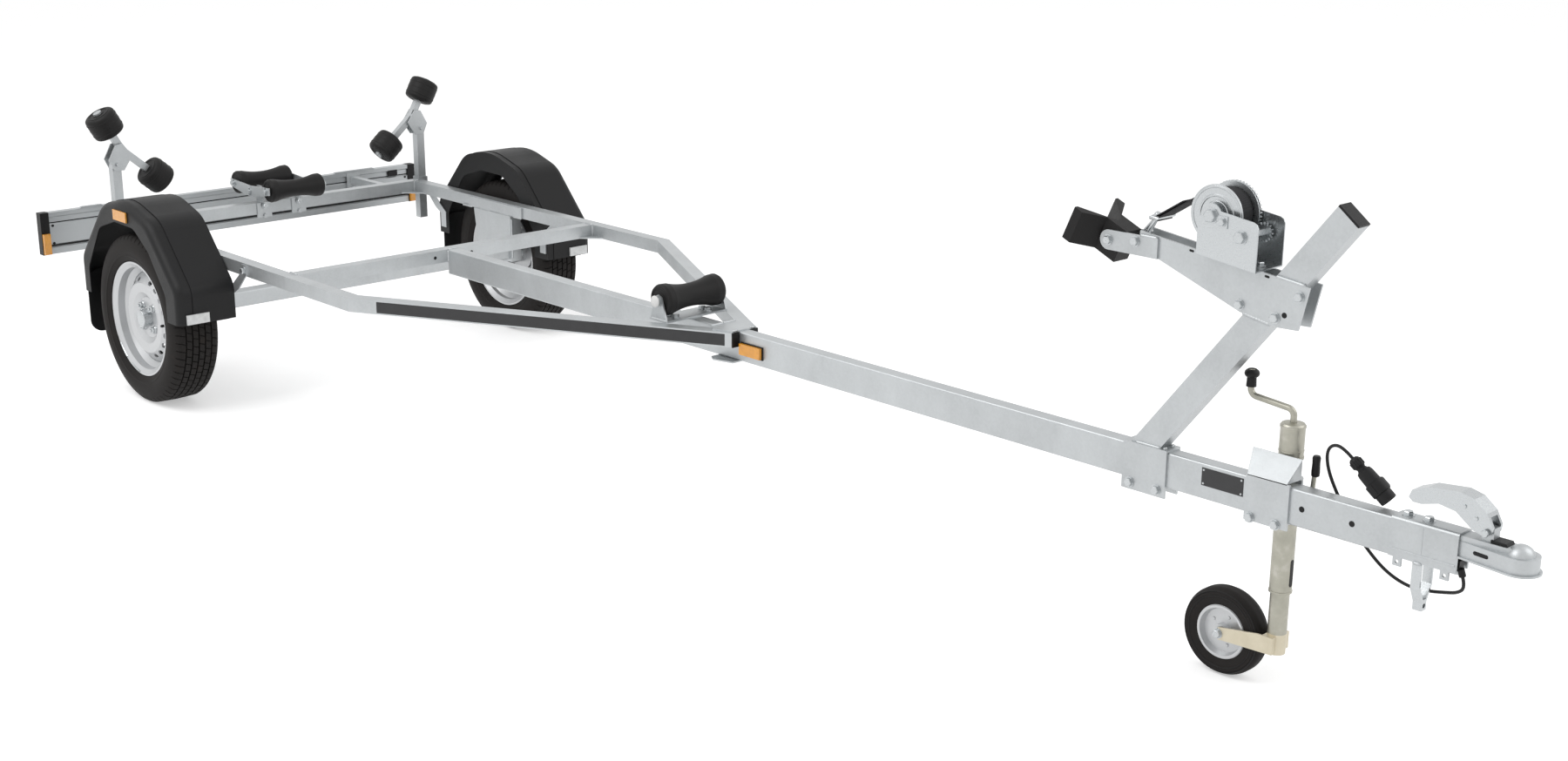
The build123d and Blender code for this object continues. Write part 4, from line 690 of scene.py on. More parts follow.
class TRAILER_OT_lead(bpy.types.Operator):
    """Draws the lighting lead from its gland to the plug parked on the drawbar"""
    bl_idname = "trailer.lead"
    bl_label = "Lead"

    def execute(self, context):
        aim = (Vector(PLUG_TIP) - Vector(PLUG_TAIL)).normalized()
        route = [Vector(point) for point in LEAD_ROUTE]
        route += [Vector(PLUG_TAIL) - aim * 30, Vector(PLUG_TAIL)]
        curve = bpy.data.curves.new("lead", "CURVE")
        curve.dimensions = "3D"
        curve.bevel_depth = sizes().lead / 2
        curve.bevel_resolution = 4
        curve.use_fill_caps = True
        spline = curve.splines.new("NURBS")
        spline.points.add(len(route) - 1)
        for point, (x, y, z) in zip(spline.points, route):
            point.co = (*at(x, y, z), 1.0)
        spline.order_u = 3
        spline.use_endpoint_u = True
        lead = dress(bpy.data.objects.new("lead", curve), "frame", "cable")
        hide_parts("cord")
        at(*LEAD_ROUTE[0])
        self.plug()
        return {"FINISHED"}

    def plug(self):
        """The moulded plug: a ribbed clamping nut, a stepped front ring with three ribs, and seven pins."""
        tail, tip = at(*PLUG_TAIL), at(*PLUG_TIP)
        aim = (tip - tail).normalized()
        length = (tip - tail).length
        shell = Form()
        shell.turned([(0, 0), (0.0070, 0), (0.0105, 0.003), (0.0125, 0.008), (0.0128, 0.021), (0.0105, 0.023),
                      (0.0092, 0.026), (0.0110, 0.030), (0.0150, 0.033), (0.0165, 0.040), (0.0172, 0.060),
                      (0.0176, 0.062), (0.0206, 0.064), (0.0206, 0.088), (0.0200, 0.090), (0.0178, 0.091),
                      (0.0178, length - 0.003), (0.0172, length), (0.0150, length),
                      (0.0150, length - 0.012), (0, length - 0.012)], tail, aim, 40)
        side = aim.orthogonal().normalized()
        up = aim.cross(side)
        for count, radius, start, end, thick, segments in (
                (12, 0.0126, tail + aim * 0.007, tail + aim * 0.020, 0.0012, 6),
                (3, 0.0206, tail + aim * 0.065, tail + aim * 0.087, 0.0012, 6),
                (7, 0.0105, tip - aim * 0.013, tip - aim * 0.003, 0.0019, 10)):
            for ends in zip(circle(start, radius, side, up, count), circle(end, radius, side, up, count)):
                shell.bar(ends, thick, segments)
        plug = shell.piece("plug_shell", "frame", "plastic", smooth=35)
        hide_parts("plug")
        return plug


# ---- road wheels
def tyre_section():
    """Half of a road tyre's outline as (radius, half width, rib), from the bead to the tread's middle."""
    wall = [(168.6, 44), (168.6, 53.4), (172.1, 57), (183.3, 61.2), (185.5, 68), (190, 70.4), (196, 73.2),
            (201, 75.0), (202, 76.2), (205, 76.8), (206.5, 76.4), (210, 77.3), (222, 78.4), (234, 77.2),
            (244, 74.6), (252, 71.4)]
    points = [(radius, half, None) for radius, half in wall]
    points += [(258, 68.5, 0), (264, 63.5, 0), (268, 56.5, 0)]
    for rib, groove in enumerate((42, 21)):
        top = 270 - 2 * groove / 56.5
        points += [(top, groove + 2.2, rib), (263, groove + 1.6, None), (263, groove - 1.6, None),
                   (top, groove - 2.2, rib + 1)]
    return points + [(269.9, 2.2, 2), (263, 1.6, None)]


class TRAILER_OT_tyres(bpy.types.Operator):
    """Moulds the road tyres with ribs, cross cuts and a kerbing ring"""
    bl_idname = "trailer.tyres"
    bl_label = "Tyres"
    slant: a_number("Slant", "Forward run of the cross cuts over their width", 0.35)

    def execute(self, context):
        half = tyre_section()
        section = half + [(radius, -out, None if rib is None else 5 - rib)
                          for radius, out, rib in reversed(half)]
        section += [(radius, out, None) for radius, out in
                    ((190, -54), (225, -66), (254, -54), (254, 54), (225, 66), (190, 54))]
        for name, side in SIDES.items():
            form = Form()
            form.skin(self.turns(section, at(*WHEEL[name]), side), ends=False)
            tyre = form.piece(f"tread_tyre_{name}", f"wheel_{name}", "tyre", smooth=32)
            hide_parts(f"tyre_{name}")
        return {"FINISHED"}

    def turns(self, section, centre, side):
        """The section at each angle, where the ribs are cut across in two staggered rows."""
        steps = ((0.0, None), (0.02, 0), (0.10, 0), (0.12, None),
                 (0.50, None), (0.52, 1), (0.60, 1), (0.62, None))
        count = sizes().tread_count
        depth = sizes().tread_depth
        rings = []
        for block in range(count):
            for share, row in steps:
                ring = []
                for radius, out, rib in section:
                    cut = depth if rib is not None and row == rib % 2 else 0.0
                    lean = self.slant * max(-60, min(60, out)) / 270
                    angle = 2 * math.pi * (block + share) / count + lean
                    reach = radius / 1000 - cut
                    ring.append(centre + Vector((reach * math.cos(angle), side * out / 1000,
                                                 reach * math.sin(angle))))
                rings.append(ring)
        return rings + [rings[0]]


class TRAILER_OT_wheels(bpy.types.Operator):
    """Fits grease caps, wheel nuts, dark rings of painted shade behind the vents, valves and balance weights
    """
    bl_idname = "trailer.wheels"
    bl_label = "Wheel fittings"
    nut_circle: a_length("Nut circle", "Radius of the circle of wheel nuts", 0.049)

    def execute(self, context):
        hub_face, rim_edge, rim_lip, valve_hole = 0.026, 0.0655, 0.1775, 0.132
        for name, side in SIDES.items():
            body = f"wheel_{name}"
            out = LEFT * side
            centre = at(*WHEEL[name])
            face = centre + out * hub_face
            cap = Form()
            cap.turned([(0, 0), (0.0305, 0), (0.0305, 0.004), (0.0292, 0.005), (0.0292, 0.026),
                        (0.0285, 0.030), (0.0285, 0.032), (0.0270, 0.0345), (0.020, 0.0362),
                        (0.008, 0.0370), (0, 0.0371)], face, out, 40)
            cap.piece(f"grease_cap_{name}", body, "bright")
            nuts = Form()
            for turn in range(4):
                angle = math.pi * (0.25 + turn / 2)
                spot = face + self.nut_circle * spoke(angle)
                nuts.turned([(0, 0.0005), (0.0125, 0.0005), (0.0125, 0.0035), (0.0112, 0.0055),
                             (0, 0.0055)], spot + out * 0.004, out, 24)
                nuts.turned([(0.0108, 0.006), (0.0108, 0.0150), (0.0085, 0.0180), (0.0052, 0.0184),
                             (0.0052, 0.0215), (0.0042, 0.0225), (0, 0.0225)], spot, out, 6)
            nuts.piece(f"wheel_nuts_{name}", body, "bright", smooth=25)
            # painted shade: a black ring behind the wheel disc stands for the shadow seen through its vent
            # holes
            vent_shade_ring = Form()
            vent_shade_ring.turned([(0.100, -0.002), (0.100, 0.0), (0.136, 0.0), (0.136, -0.002), (0.100, -0.002)],
                         centre + out * 0.012, out, 48)
            vent_shade_ring.piece(f"vent_painted_shade_{name}", body, "plastic")
            valve = Form()
            stem = centre + FORWARD * valve_hole + out * 0.024
            valve.turned([(0, 0), (0.0062, 0), (0.0056, 0.006), (0.0042, 0.010), (0.0040, 0.022),
                          (0.0044, 0.023), (0.0044, 0.031), (0.0036, 0.033), (0, 0.033)], stem, out, 16)
            valve.piece(f"valve_{name}", body, "rubber")
            weight = Form()
            for edge in (0.0, 0.5):
                angles = [math.pi * (1.20 + 0.10 * step / 8) + edge for step in range(9)]
                weight.bar([centre + out * rim_edge + rim_lip * spoke(angle) for angle in angles], 0.0032, 8)
            weight.piece(f"balance_weights_{name}", body, "bright")
        return {"FINISHED"}


# ---- fastenings and welds
# bolts as (x, y, z, axis); a "Y" bolt stands outwards on both sides of the trailer
BOLTS = {
    "fender_bolts": [(248, 604, 345, "Y"), (-364, 604, 345, "Y"), (342, 595, 468, "Y"),
                     (-458, 595, 468, "Y")],
    "hanger_bolts": [(-60, 568, 445, "-Z"), (100, 568, 445, "-Z")],
    "post_bolts": [(-524, 590, 452, "-X"), (-524, 590, 484, "-X")],
    "board_bolts": [(-780, 470, 412, "X"), (-780, 470, 432, "X")],
    "mast_bolts": [(3248, 25, 402, "Y"), (3320, 25, 402, "Y")],
    "arm_bolts": [(3498.9, 25, 851.2, "Y"), (3585.6, 25, 839.0, "Y"), (3638.2, 25, 891.8, "Y")],
    "stop_bolts": [(3160, 30, 934, "Y"), (3232, 30, 942, "Y")],
    "jockey_bolts": [(3560, 25, 403.5, "Y"), (3622, 25, 403.5, "Y")],
    "coupling_bolts": [(3905, 0, 495, "Z"), (3950, 0, 495, "Z")],
    "bracket_bolts": [(-480, 67, 480, "X"), (1738, 58, 495, "Z"), (1712, 58, 495, "Z")],
}
AXES = {"X": FORWARD, "-X": -FORWARD, "Z": UP, "-Z": -UP}


class TRAILER_OT_fastenings(bpy.types.Operator):
    """Drives the hexagon bolts of the frame, with their washers"""
    bl_idname = "trailer.fastenings"
    bl_label = "Fastenings"

    def execute(self, context):
        across = sizes().bolt
        for name, places in BOLTS.items():
            form = Form()
            for x, y, z, axis in places:
                for side in SIDES.values():
                    out = LEFT * side if axis == "Y" else AXES[axis]
                    hexagon(form, at(x, side * y, z), out, across, 0.0078)
            form.piece(name, "frame", "bright", smooth=25)
        return {"FINISHED"}


# welds as (start, end), laid on both sides of the trailer
WELDS = {
    "frame_welds": [((545, 551, 490), (585, 551, 490)), ((545, 551, 451), (545, 551, 489)),
                    ((585, 551, 451), (585, 551, 489)), ((586, 20, 452), (586, 20, 486)),
                    ((586, 0, 490), (586, 19, 490)), ((-488, 551, 450), (-488, 551, 489)),
                    ((-490, 571, 490), (-490, 551, 490)), ((1868, 1, 494), (1868, 43, 494)),
                    ((1950, 22, 494), (1950, 41, 494)), ((1890, 20, 450), (1950, 20, 450)),
                    ((-528, 470, 477), (-528, 488, 477))],
    "hanger_welds": [((-168, 548, 450), (-110, 548, 450)), ((-60, 548, 450), (0, 548, 450)),
                     ((50, 548, 450), (110, 548, 450)), ((140, 548, 450), (186, 548, 450)),
                     ((130, 546, 300), (130, 546, 440)), ((71, 541, 346), (119, 541, 346))],
    "mast_welds": [((3256, 20, 496), (3322, 20, 496)), ((3330, 8, 496), (3330, 19, 496))],
    "bracket_welds": [((-522, 72, 491), (-478, 72, 491)), ((1692, 107, 495), (1758, 107, 495)),
                      ((3242, 27, 956), (3288, 27, 956))],
    "arm_welds": [((3579, 22, 924), (3648, 22, 915.5)), ((3506, 22, 834), (3574, 22, 822))],
    "loop_welds": [((3937, 25, 411), (3955, 25, 411))],
}


class TRAILER_OT_welds(bpy.types.Operator):
    """Lays the weld beads where the frame's tubes and plates meet"""
    bl_idname = "trailer.welds"
    bl_label = "Welds"

    def execute(self, context):
        for name, runs in WELDS.items():
            form = Form()
            for (x0, y0, z0), (x1, y1, z1) in runs:
                for side in SIDES.values():
                    bead(form, at(x0, side * y0, z0), at(x1, side * y1, z1), sizes().weld)
            form.piece(name, "frame", "galvanised", smooth=60)
        return {"FINISHED"}


# ---- light board and plates
class TRAILER_OT_board(bpy.types.Operator):
    """Fits dark strips of painted shade in the light board's grooves, and its lips, rivets, clip and rear
    lamps
    """
    bl_idname = "trailer.board"
    bl_label = "Light board"

    def execute(self, context):
        # painted shade: thin black strips in the board's two grooves stand for the shade inside them
        groove = Form()
        groove.block(at(-789.2, -711, 375), at(-788.4, 711, 381.5))
        groove.block(at(-791.2, -711, 455.5), at(-790.6, 711, 459))
        groove.piece("board_groove_painted_shade", "frame", "plastic")
        lips = Form()
        for low, high in ((-602, -513), (388, 568)):
            outline = [(low, 0), (low + 8, 7), (high - 8, 7), (high, 0)]
            lips.cut(metres(outline), -0.011, 0.0, FORWARD, at(-786, 0, 492.5), LEFT)
        lips.piece("board_lips", "frame", "board", bevel=0.0015)
        rivets = Form()
        for side in SIDES.values():
            for z in (386, 447):
                rivets.rivet(0.005, 0.0042, 0.0018, 0.0026, at(-786.8, side * 700, z), FORWARD, 16)
        clamp = at(-787, 645, 470)
        rivets.block(clamp - Vector((0.001, 0.020, 0.012)), clamp + Vector((0.004, 0.020, 0.010)))
        rivets.piece("board_clips", "frame", "plastic", bevel=0.001)
        for name, side in SIDES.items():
            self.lamp(name, side)
        return {"FINISHED"}

    def lamp(self, name, side):
        """A rear lamp: a black tray with a red, an amber and a clear lens."""
        lens_face = -850
        tray = Form().block(at(-825, side * 500, 368), at(-813, side * 700, 475))
        pieces = [tray.piece(f"lamp_tray_{name}", "frame", "plastic", bevel=0.003)]
        for kind, finish, low, high in (("brake", "red", 562, 640), ("flasher", "amber", 642, 697),
                                        ("reverse", "white", 503, 560)):
            lens = Form().block(at(lens_face, side * low, 371), at(-824, side * high, 472))
            pieces.append(lens.piece(f"{kind}_lens_{name}", "frame", finish, bevel=0.006))
        screws = Form()
        for y in (531, 601, 669):
            screws.rivet(0.004, 0.0036, 0.0015, 0.002, at(lens_face, side * y, 421), -FORWARD, 14)
        pieces.append(screws.piece(f"lamp_screws_{name}", "frame", "bright"))
        for piece in pieces:
            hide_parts("rear_lamps")


class TRAILER_OT_plates(bpy.types.Operator):
    """Sets the blank rating plate, the rail strips, discs of painted shade in the tube holes and the lamp
    frames
    """
    bl_idname = "trailer.plates"
    bl_label = "Plates and strips"

    def execute(self, context):
        plate_face = -20.9
        plate = Form().block(at(3432, plate_face, 441), at(3537, -20, 481))
        plate.piece("rating_plate", "frame", "plate", bevel=0.0004)
        rivets = Form()
        for x in (3437, 3532):
            for z in (446, 476):
                rivets.rivet(0.0026, 0.0020, 0.0011, 0.0015, at(x, plate_face, z), -LEFT)
        rivets.piece("plate_rivets", "frame", "bright")
        strips = Form()
        bend_x, bend_y = 935.05, 591.6
        slope = math.tan(math.radians(28.2))
        for side in SIDES.values():
            ends = [at(x, side * (bend_y - (x - bend_x) * slope), 454) for x in (1015, 1935)]
            lift = Vector((0, 0, 0.032))
            depth = Vector((-slope, -side, 0)).normalized() * 0.0008
            strip = [ends[0], ends[1], ends[1] + lift, ends[0] + lift]
            strips.skin([strip, [point + depth for point in strip]])
        strips.piece("rail_strips", "frame", "plate")
        # painted shade: black discs and slots stand for the shade inside the tubes' holes and the arm's
        # notches
        hole_shades = Form()
        thick = 0.0003
        for x in (3679, 3795):
            for side in SIDES.values():
                hole_shades.disc(0.0065, thick, at(x, side * 20, 451), LEFT * side)
        for y in (-68, 68):
            hole_shades.disc(0.0055, thick, at(585, y, 468.7), FORWARD)
        for side in SIDES.values():
            out = LEFT * side
            hole_shades.disc(0.006, thick, at(3606.6, side * 25, 848), out)
            for x in (3374, 3560):
                notch = at(x, side * 25, arm_top(x) - 3)
                hole_shades.cut(rounded(0.012, 0.005), 0, thick, out, notch, spoke(-0.12))
        hole_shades.piece("tube_hole_painted_shade", "frame", "plastic")
        frames = Form()
        for side in SIDES.values():
            for x0, x1, y, z0, z1 in ((-114, -23, 783.5, 582, 618), (1962, 2048, 23.5, 429, 465)):
                frames.block(at(x0, side * (y - 3.2), z0), at(x1, side * y, z1))
        frames.piece("marker_frames", "frame", "plastic", bevel=0.0008)
        return {"FINISHED"}


# ---- rollers
SWING = (-500, 0, 532)
NOSE_HALF = 0.118
SWING_HALF = 0.111


class TRAILER_OT_rollers(bpy.types.Operator):
    """Adds the rollers' end rings, nylon caps, washers and split pins"""
    bl_idname = "trailer.rollers"
    bl_label = "Rollers"

    def execute(self, context):
        for name, end_radius in (("nose_roller", 0.044), ("keel_roller_front", 0.040),
                            ("keel_roller_rear", 0.040)):
            rings = Form()
            for out in OUTWARDS:
                face = middle(name) + out * 0.100
                rings.turned([(end_radius - 0.0035, 0.0), (end_radius - 0.005, 0.0016),
                              (end_radius - 0.010, 0.0016), (end_radius - 0.0115, 0.0)], face, out, 40)
                rings.turned([(0.0205, 0.0), (0.0195, 0.0022), (0.0100, 0.0022), (0.0090, 0.0)],
                             face, out, 32)
            rings.piece(f"{name}_rings", name, "rubber")
        caps = Form()
        for out in OUTWARDS:
            caps.turned([(0, 0), (0.016, 0), (0.016, 0.003), (0.0125, 0.006), (0, 0.0065)],
                        middle("nose_roller") + out * NOSE_HALF, out, 28)
        caps.piece("nose_roller_caps", "frame", "nylon")
        washers = Form()
        for x in (SWING[0] - 112, SWING[0] + 112):
            self.pins(washers, at(x, 0, 547))
        self.pins(washers, at(*SWING))
        washers.piece("swing_washers", "keel_swing", "bright")
        for name in ("upper", "lower"):
            for hand, side in SIDES.items():
                self.side_roller(f"side_roller_{name}_{hand}", name, side)
        return {"FINISHED"}

    def pins(self, form, centre):
        """A washer and a split pin on each end of an axle of the keel swing."""
        for out in OUTWARDS:
            form.disc(0.0135, 0.002, centre + out * SWING_HALF, out, 24)
            place = centre + out * (SWING_HALF + 0.0055)
            form.bar([place + UP * reach for reach in (-0.013, 0.0, 0.011)], 0.0014, 8)
            loop = circle(place + UP * 0.012, 0.003, FORWARD, UP, 12)
            form.bar(loop + loop[:1], 0.0012, 6)

    def side_roller(self, name, place, side):
        """Moulded rings on both ends of a side roller, about its tilted axle."""
        knee = Vector((0, side * 0.562, 0.728))
        reach, height = {"upper": (0.612, 0.818), "lower": (0.449, 0.630)}[place]
        target = Vector((0, side * reach, height))
        axis = (target - knee).normalized()
        centre = at(-505, 0, 0) + target
        rings = Form()
        for out in (axis, -axis):
            face = centre + out * 0.039
            rings.turned([(0.0385, -0.0005), (0.0370, 0.0018), (0.0320, 0.0018), (0.0305, -0.0005)],
                         face, out, 40)
            rings.turned([(0.0205, -0.0005), (0.0195, 0.0010), (0.0150, 0.0010), (0.0150, -0.0005)],
                         face, out, 32)
        for offset in (-0.020, 0.0, 0.020):
            rings.hoop(0.0515, 0.0526, 0.0026, 0.0012, centre + axis * offset, axis, 48)
        rings.piece(f"{name}_rings", name, "rubber", smooth=50)

# ---- winch, strap and hook
STRAP_HALF = 0.025
# the strap's section where it lies round the hook's eye, as (distance from the eye, left)
STRAP_BAND = ((0.0046, STRAP_HALF), (0.0072, STRAP_HALF), (0.0072, -STRAP_HALF), (0.0046, -STRAP_HALF))
HOOK_EYE = (3285.0, 0.0, 999.5)
HOOK_PIN = (3232, 0, 942)


class TRAILER_OT_winch(bpy.types.Operator):
    """Presses the winch's flanges, winds its strap and fits the pawl, nuts and grip rings"""
    bl_idname = "trailer.winch"
    bl_label = "Winch"
    layer: a_length("Strap layer", "Thickness of a wound layer", 0.0031)

    def execute(self, context):
        drum = at(*DRUM)
        flanges = Form()
        for side in SIDES.values():
            out = LEFT * side
            for radius in (0.058, 0.040, 0.026):
                flanges.ridge(radius, 0.003, 0.0015, -0.0002, 0.0013, drum + out * self.face(side), out, 56)
        flanges.piece("flange_rings", "winch_drum", "bright")
        self.wind(drum)
        self.fittings(drum)
        return {"FINISHED"}

    def face(self, side):
        """Outer face of a flange; the gear lies against the left one."""
        return 0.031 if side < 0 else 0.0385

    def wind(self, drum):
        """The strap's layers, wound in a spiral from the drum's core."""
        core, full, outermost = 0.0205, 0.0525, 0.0523
        steps_a_turn = 40
        steps = int((full - core) / self.layer * steps_a_turn)
        rings = []
        for step in range(steps + 1):
            angle = 2 * math.pi * step / steps_a_turn
            inner = core + (outermost - self.layer - core) * step / steps
            radial = spoke(angle)
            wander = 0.0006 * math.sin(angle * 0.37)
            low, high = drum + radial * inner, drum + radial * (inner + self.layer * 0.86)
            left, right = LEFT * (STRAP_HALF + wander), LEFT * (STRAP_HALF - wander)
            rings.append([low + left, high + left, high - right, low - right])
        coil = Form().skin(rings).piece("wound_strap", "winch_drum", "webbing", smooth=50)
        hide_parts("strap_coil")

    def fittings(self, drum):
        """Nuts on the shafts and the base, the square washer, the ratchet pawl and the grip's rings."""
        nuts = Form()
        pinion = at(3506.6, 0, 995.7)
        for out in OUTWARDS:
            hexagon(nuts, drum + out * 0.049, out, 0.024, 0.010)
        hexagon(nuts, pinion - LEFT * 0.049, -LEFT, 0.022, 0.009)
        square = at(3461.8, -49, 1021)
        nuts.block(square - Vector((0.0125, 0.0022, 0.0125)), square + Vector((0.0125, 0.0, 0.0125)))
        hexagon(nuts, square - LEFT * 0.0022, -LEFT, 0.014, 0.006)
        for x in (3425, 3525):
            hexagon(nuts, at(x, 0, arm_top(x) + 6), UP, 0.017, 0.007)
        nuts.piece("winch_nuts", "frame", "bright", smooth=25)
        pawl = Form()
        outline = [(-20, -4), (-4, -8), (8, -7), (13, 0), (8, 7), (-4, 6), (-22, 3)]
        pawl.cut(metres(outline), -0.005, 0.0, LEFT, at(3462, -40, 1012), FORWARD)
        pawl.disc(0.006, 0.008, at(3462, -47, 1012), LEFT, 16)
        pawl.piece("ratchet_pawl", "frame", "plated", bevel=0.0008)
        rings = Form()
        centre = middle("crank_grip")
        for step in range(9):
            rings.hoop(0.0138, 0.0148, 0.0022, 0.0010, centre + LEFT * (step - 4) * 0.0115, LEFT, 28)
        rings.piece("grip_rings", "crank_grip", "plastic", smooth=60)


class TRAILER_OT_strap(bpy.types.Operator):
    """Sews the strap's end loop and bends the snap hook that holds it"""
    bl_idname = "trailer.strap"
    bl_label = "Strap and hook"

    def execute(self, context):
        eye = at(*HOOK_EYE)
        radials = [spoke(math.pi * (0.5 + step / 12)) for step in range(13)]
        loop = Form().skin([[eye + radial * reach + LEFT * out for reach, out in STRAP_BAND]
                            for radial in radials])
        loop.piece("strap_loop", "frame", "webbing", smooth=60)
        tail = at(3345, 0, 1037.5)
        aim = (tail - eye).normalized()
        over = LEFT.cross(aim)
        fold = Form()
        fold.skin([[eye + aim * reach - over * lift + LEFT * out for lift, out in STRAP_BAND]
                   for reach in (0.0, 0.074)])
        fold.piece("strap_fold", "frame", "webbing")
        stitches = Form()
        rows, columns, row_pitch, column_pitch = 5, 14, 0.009, 0.0034
        for row in range(rows):
            for column in range(columns):
                across = LEFT * (column - (columns - 1) / 2) * column_pitch
                spot = eye + aim * (0.026 + row * row_pitch) + across - over * 0.0074
                lean = aim * (0.0022 if column % 2 else -0.0022)
                stitches.bar([spot - lean - LEFT * 0.0013, spot + lean + LEFT * 0.0013], 0.00045, 5)
        stitches.piece("strap_stitches", "frame", "thread")
        self.hook(eye)
        return {"FINISHED"}

    def hook(self, eye):
        """A forged snap hook: square eye, shank, bight round the pin and a sprung gate."""
        pin = at(*HOOK_PIN)
        body = Form()
        half = 0.0305
        corners = [(0.0, half), (0.0, -half), (-0.016, -half), (-0.019, -0.012), (-0.019, 0.012),
                   (-0.016, half), (0.0, half)]
        body.bar([eye + FORWARD * x + LEFT * y for x, y in corners], 0.0042, 12)
        shank = eye + Vector((-0.019, 0, -0.001))
        run = (pin - shank).normalized()
        side = LEFT.cross(run)
        path = [shank, shank + run * 0.018]
        bend = 0.0125
        for step in range(10):
            angle = math.pi * (-0.5 + 1.28 * step / 9)
            path.append(pin + bend * (run * math.sin(angle) - side * math.cos(angle)))
        body.bar(path, 0.0058, 12)
        body.turned([(0, -0.006), (0.0095, -0.006), (0.0095, 0.002), (0.0078, 0.006), (0, 0.006)],
                    shank, -run, 20)
        hook = body.piece("snap_hook", "frame", "bright", smooth=60)
        gate = Form().bar([shank + run * 0.012 + side * 0.004, pin - run * 0.004 + side * 0.0125], 0.0026, 10)
        gate = gate.piece("hook_gate", "frame", "bright", smooth=60)
        for piece in (hook, gate):
            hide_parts("strap_hook")


# ---- jockey wheel and coupling
class TRAILER_OT_jockey(bpy.types.Operator):
    """Finishes the jockey wheel: tube collars, painted shade in the slot, lever grip, clamp cover, fork bolt
    and tyre rings
    """
    bl_idname = "trailer.jockey"
    bl_label = "Jockey wheel"

    def execute(self, context):
        collars = Form()
        axis = at(3600, 51, 0)
        for z, radius in ((0.2305, 0.0252), (0.5305, 0.0275), (0.5975, 0.0272), (0.545, 0.0268)):
            collars.hoop(radius - 0.002, radius, 0.003, 0.002, axis + UP * z, UP, 40)
        collars.turned([(0.0265, 0.0), (0.024, 0.0035), (0.012, 0.0055), (0.0075, 0.0055)],
                       axis + UP * 0.600, UP, 40)
        collars.piece("jockey_collars", "jockey_outer", "plated")
        # painted shade: a black slot on the outer tube stands for the shade inside its slot
        slot = Form().cut(rounded(0.062, 0.010), 0, 0.0006, FORWARD, axis + Vector((0.0238, 0, 0.275)), UP)
        slot.piece("jockey_slot_painted_shade", "jockey_outer", "plastic")
        sleeve = Form()
        sleeve.turned([(0.0052, 0), (0.0085, 0.002), (0.0090, 0.010), (0.0082, 0.030), (0.0088, 0.041),
                       (0.0070, 0.0455), (0, 0.0460)], at(3661.2, 51, 501), UP, 24)
        sleeve.piece("lever_grip", "clamp_lever", "plastic")
        self.cover()
        bolts = Form()
        hub = at(*JOCKEY)
        for out in OUTWARDS:
            hexagon(bolts, hub + out * 0.032, out, 0.017, 0.0075)
        bolts.piece("fork_bolt", "jockey_fork", "bright", smooth=25)
        wheel = Form()
        for out in OUTWARDS:
            for turn in range(5):
                angle = 2 * math.pi * turn / 5
                wheel.rivet(0.0042, 0.0036, 0.002, 0.003, hub + 0.034 * spoke(angle) + out * 0.008, out, 14)
            wheel.turned([(0.0605, 0.0195), (0.0605, 0.0225), (0.0575, 0.0235), (0.0545, 0.0225),
                          (0.0540, 0.0195)], hub, out, 48)
        wheel.piece("jockey_wheel_rivets", "jockey_wheel", "silver")
        tread = Form()
        for radius, reach in ((0.0925, 0.0236), (0.082, 0.0246)):
            for out in OUTWARDS:
                tread.ridge(radius, 0.0018, 0.0008, -0.0008, 0.0006, hub + out * reach, out, 64)
        tread.piece("jockey_tyre_rings", "jockey_wheel", "rubber")
        return {"FINISHED"}

    def cover(self):
        """The clamp's sloped top plate, with the cheek that closes its front end."""
        front_low, front_high = at(3644, -25, 496.5), at(3647, 21.5, 541.5)
        thick = 0.003
        plate = Form()
        outline = [at(3547, -25, 496.5), front_low, front_high, at(3527, 21.5, 541.5)]
        plate.skin([outline, [point - UP * thick for point in outline]])
        cheek = [front_low, front_high, at(3647, 21.5, 496)]
        plate.skin([cheek, [point - FORWARD * thick for point in cheek]])
        plate.piece("clamp_cover", "frame", "galvanised", bevel=0.0008)


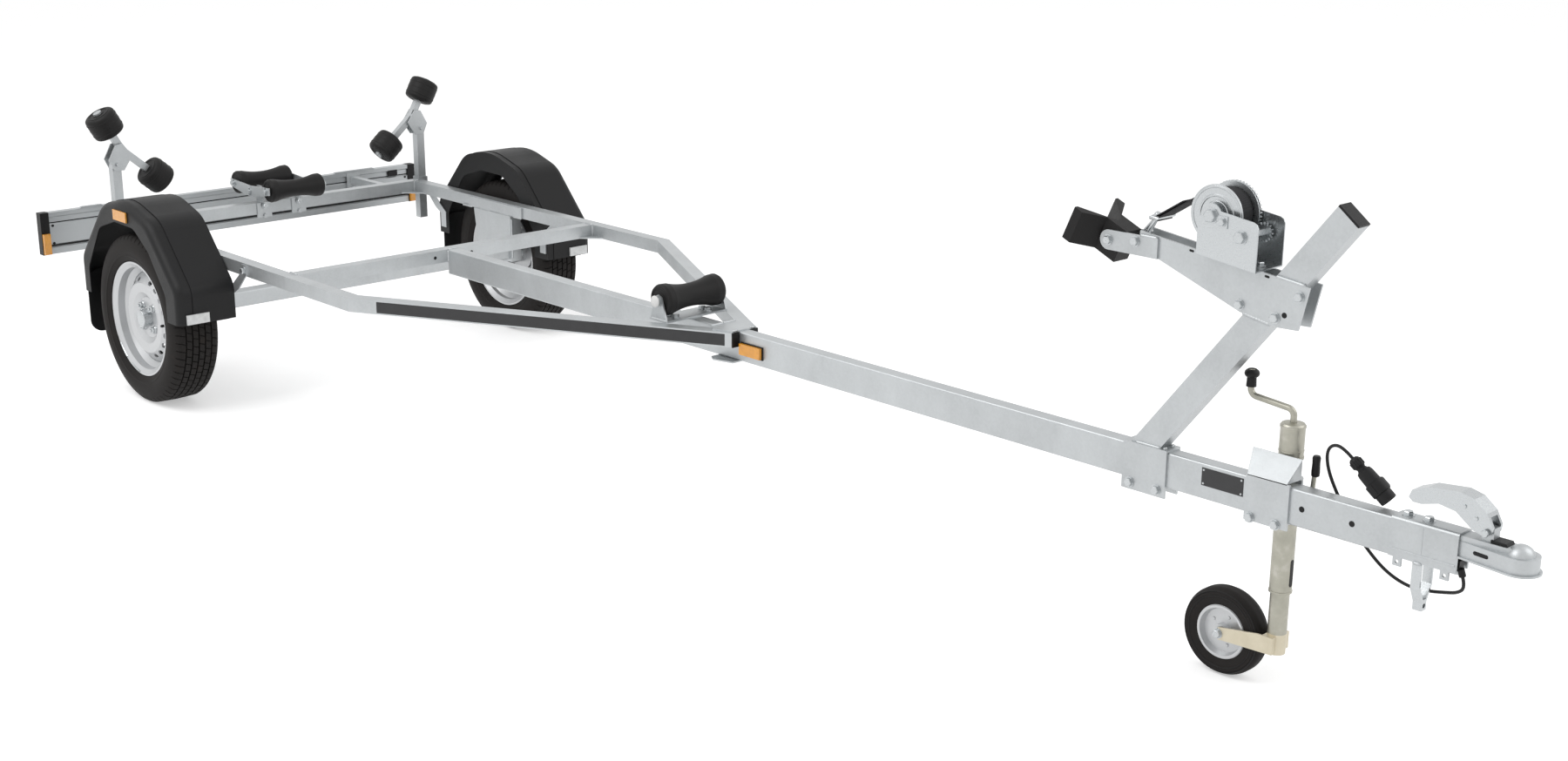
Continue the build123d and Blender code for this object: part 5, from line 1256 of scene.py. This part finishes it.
class TRAILER_OT_coupling(bpy.types.Operator):
    """Finishes the coupling: pressed ribs, painted shade in the wear windows, handle rivets and ribs, and the
    latch
    """
    bl_idname = "trailer.coupling"
    bl_label = "Coupling"

    def execute(self, context):
        press = Form()
        # painted shade: a black slot on each side of the coupling stands for the shade inside its wear window
        window_shade = Form()
        for side in SIDES.values():
            press.block(at(3886, side * 24.5, 426), at(4024, side * 26.2, 430))
            press.block(at(3950, side * 24.5, 432), at(3953, side * 25.8, 486))
            taper = math.radians(8.1)
            out = Vector((-math.sin(taper), side * math.cos(taper), 0))
            along = Vector((math.cos(taper), side * math.sin(taper), 0))
            window_shade.cut(rounded(0.034, 0.008), -0.0005, 0.0004, out, at(4075, side * 26.8, 466), along)
        press.piece("coupling_ribs", "frame", "galvanised", bevel=0.0008)
        window_shade.piece("wear_window_painted_shade", "frame", "plastic")
        rivets = Form()
        for x, out, z, radius in ((4029.6, 20, 551.1, 0.0045), (4055.6, 20, 533.0, 0.0045),
                                  (4078, 26, 510, 0.0075)):
            for side in SIDES.values():
                rivets.rivet(radius, radius * 0.85, 0.0022, 0.0032, at(x, side * out, z), LEFT * side, 20)
        rivets.piece("handle_rivets", "coupling_handle", "bright")
        grip = Form()
        for step in range(5):
            x = 3922 + step * 9
            grip.block(at(x, -16, 552 + step * 3.4), at(x + 4, 16, 554.2 + step * 3.4))
        grip.piece("handle_ribs", "coupling_handle", "bright", bevel=0.0006)
        outline = metres([(-18, 0), (14, 0), (18, 6), (14, 15), (-4, 17), (-16, 10)])
        latch = Form().cut(outline, -0.0155, 0.0155, LEFT, at(4103, 0, 497), FORWARD)
        latch.piece("coupling_latch", "frame", "plastic", bevel=0.0016)
        return {"FINISHED"}


OPERATORS = (TRAILER_OT_camera, TRAILER_OT_finishes, TRAILER_OT_lead, TRAILER_OT_tyres, TRAILER_OT_wheels,
             TRAILER_OT_fastenings, TRAILER_OT_welds, TRAILER_OT_board, TRAILER_OT_plates, TRAILER_OT_rollers,
             TRAILER_OT_winch, TRAILER_OT_strap, TRAILER_OT_jockey, TRAILER_OT_coupling, TRAILER_OT_stage)


class TRAILER_PT_panel(bpy.types.Panel):
    """Sizes, colours and the steps that dress the trailer"""
    bl_idname = "TRAILER_PT_panel"
    bl_label = "Boat Trailer"
    bl_space_type = "VIEW_3D"
    bl_region_type = "UI"
    bl_category = "Trailer"

    def draw(self, context):
        layout = self.layout
        for group in (context.scene.trailer_sizes, context.scene.trailer_colours):
            for name in group.__annotations__:
                layout.prop(group, name)
        for operator in OPERATORS:
            layout.operator(operator.bl_idname)


CLASSES = (TrailerSizes, TrailerColours, *OPERATORS, TRAILER_PT_panel)


def register():
    for entry in CLASSES:
        bpy.utils.register_class(entry)
    bpy.types.Scene.trailer_sizes = PointerProperty(type=TrailerSizes)
    bpy.types.Scene.trailer_colours = PointerProperty(type=TrailerColours)


def unregister():
    del bpy.types.Scene.trailer_colours
    del bpy.types.Scene.trailer_sizes
    for entry in reversed(CLASSES):
        bpy.utils.unregister_class(entry)


def main():
    register()
    for operator in OPERATORS:
        group, name = operator.bl_idname.split(".")
        getattr(getattr(bpy.ops, group), name)()


if __name__ == "__main__":
    main()
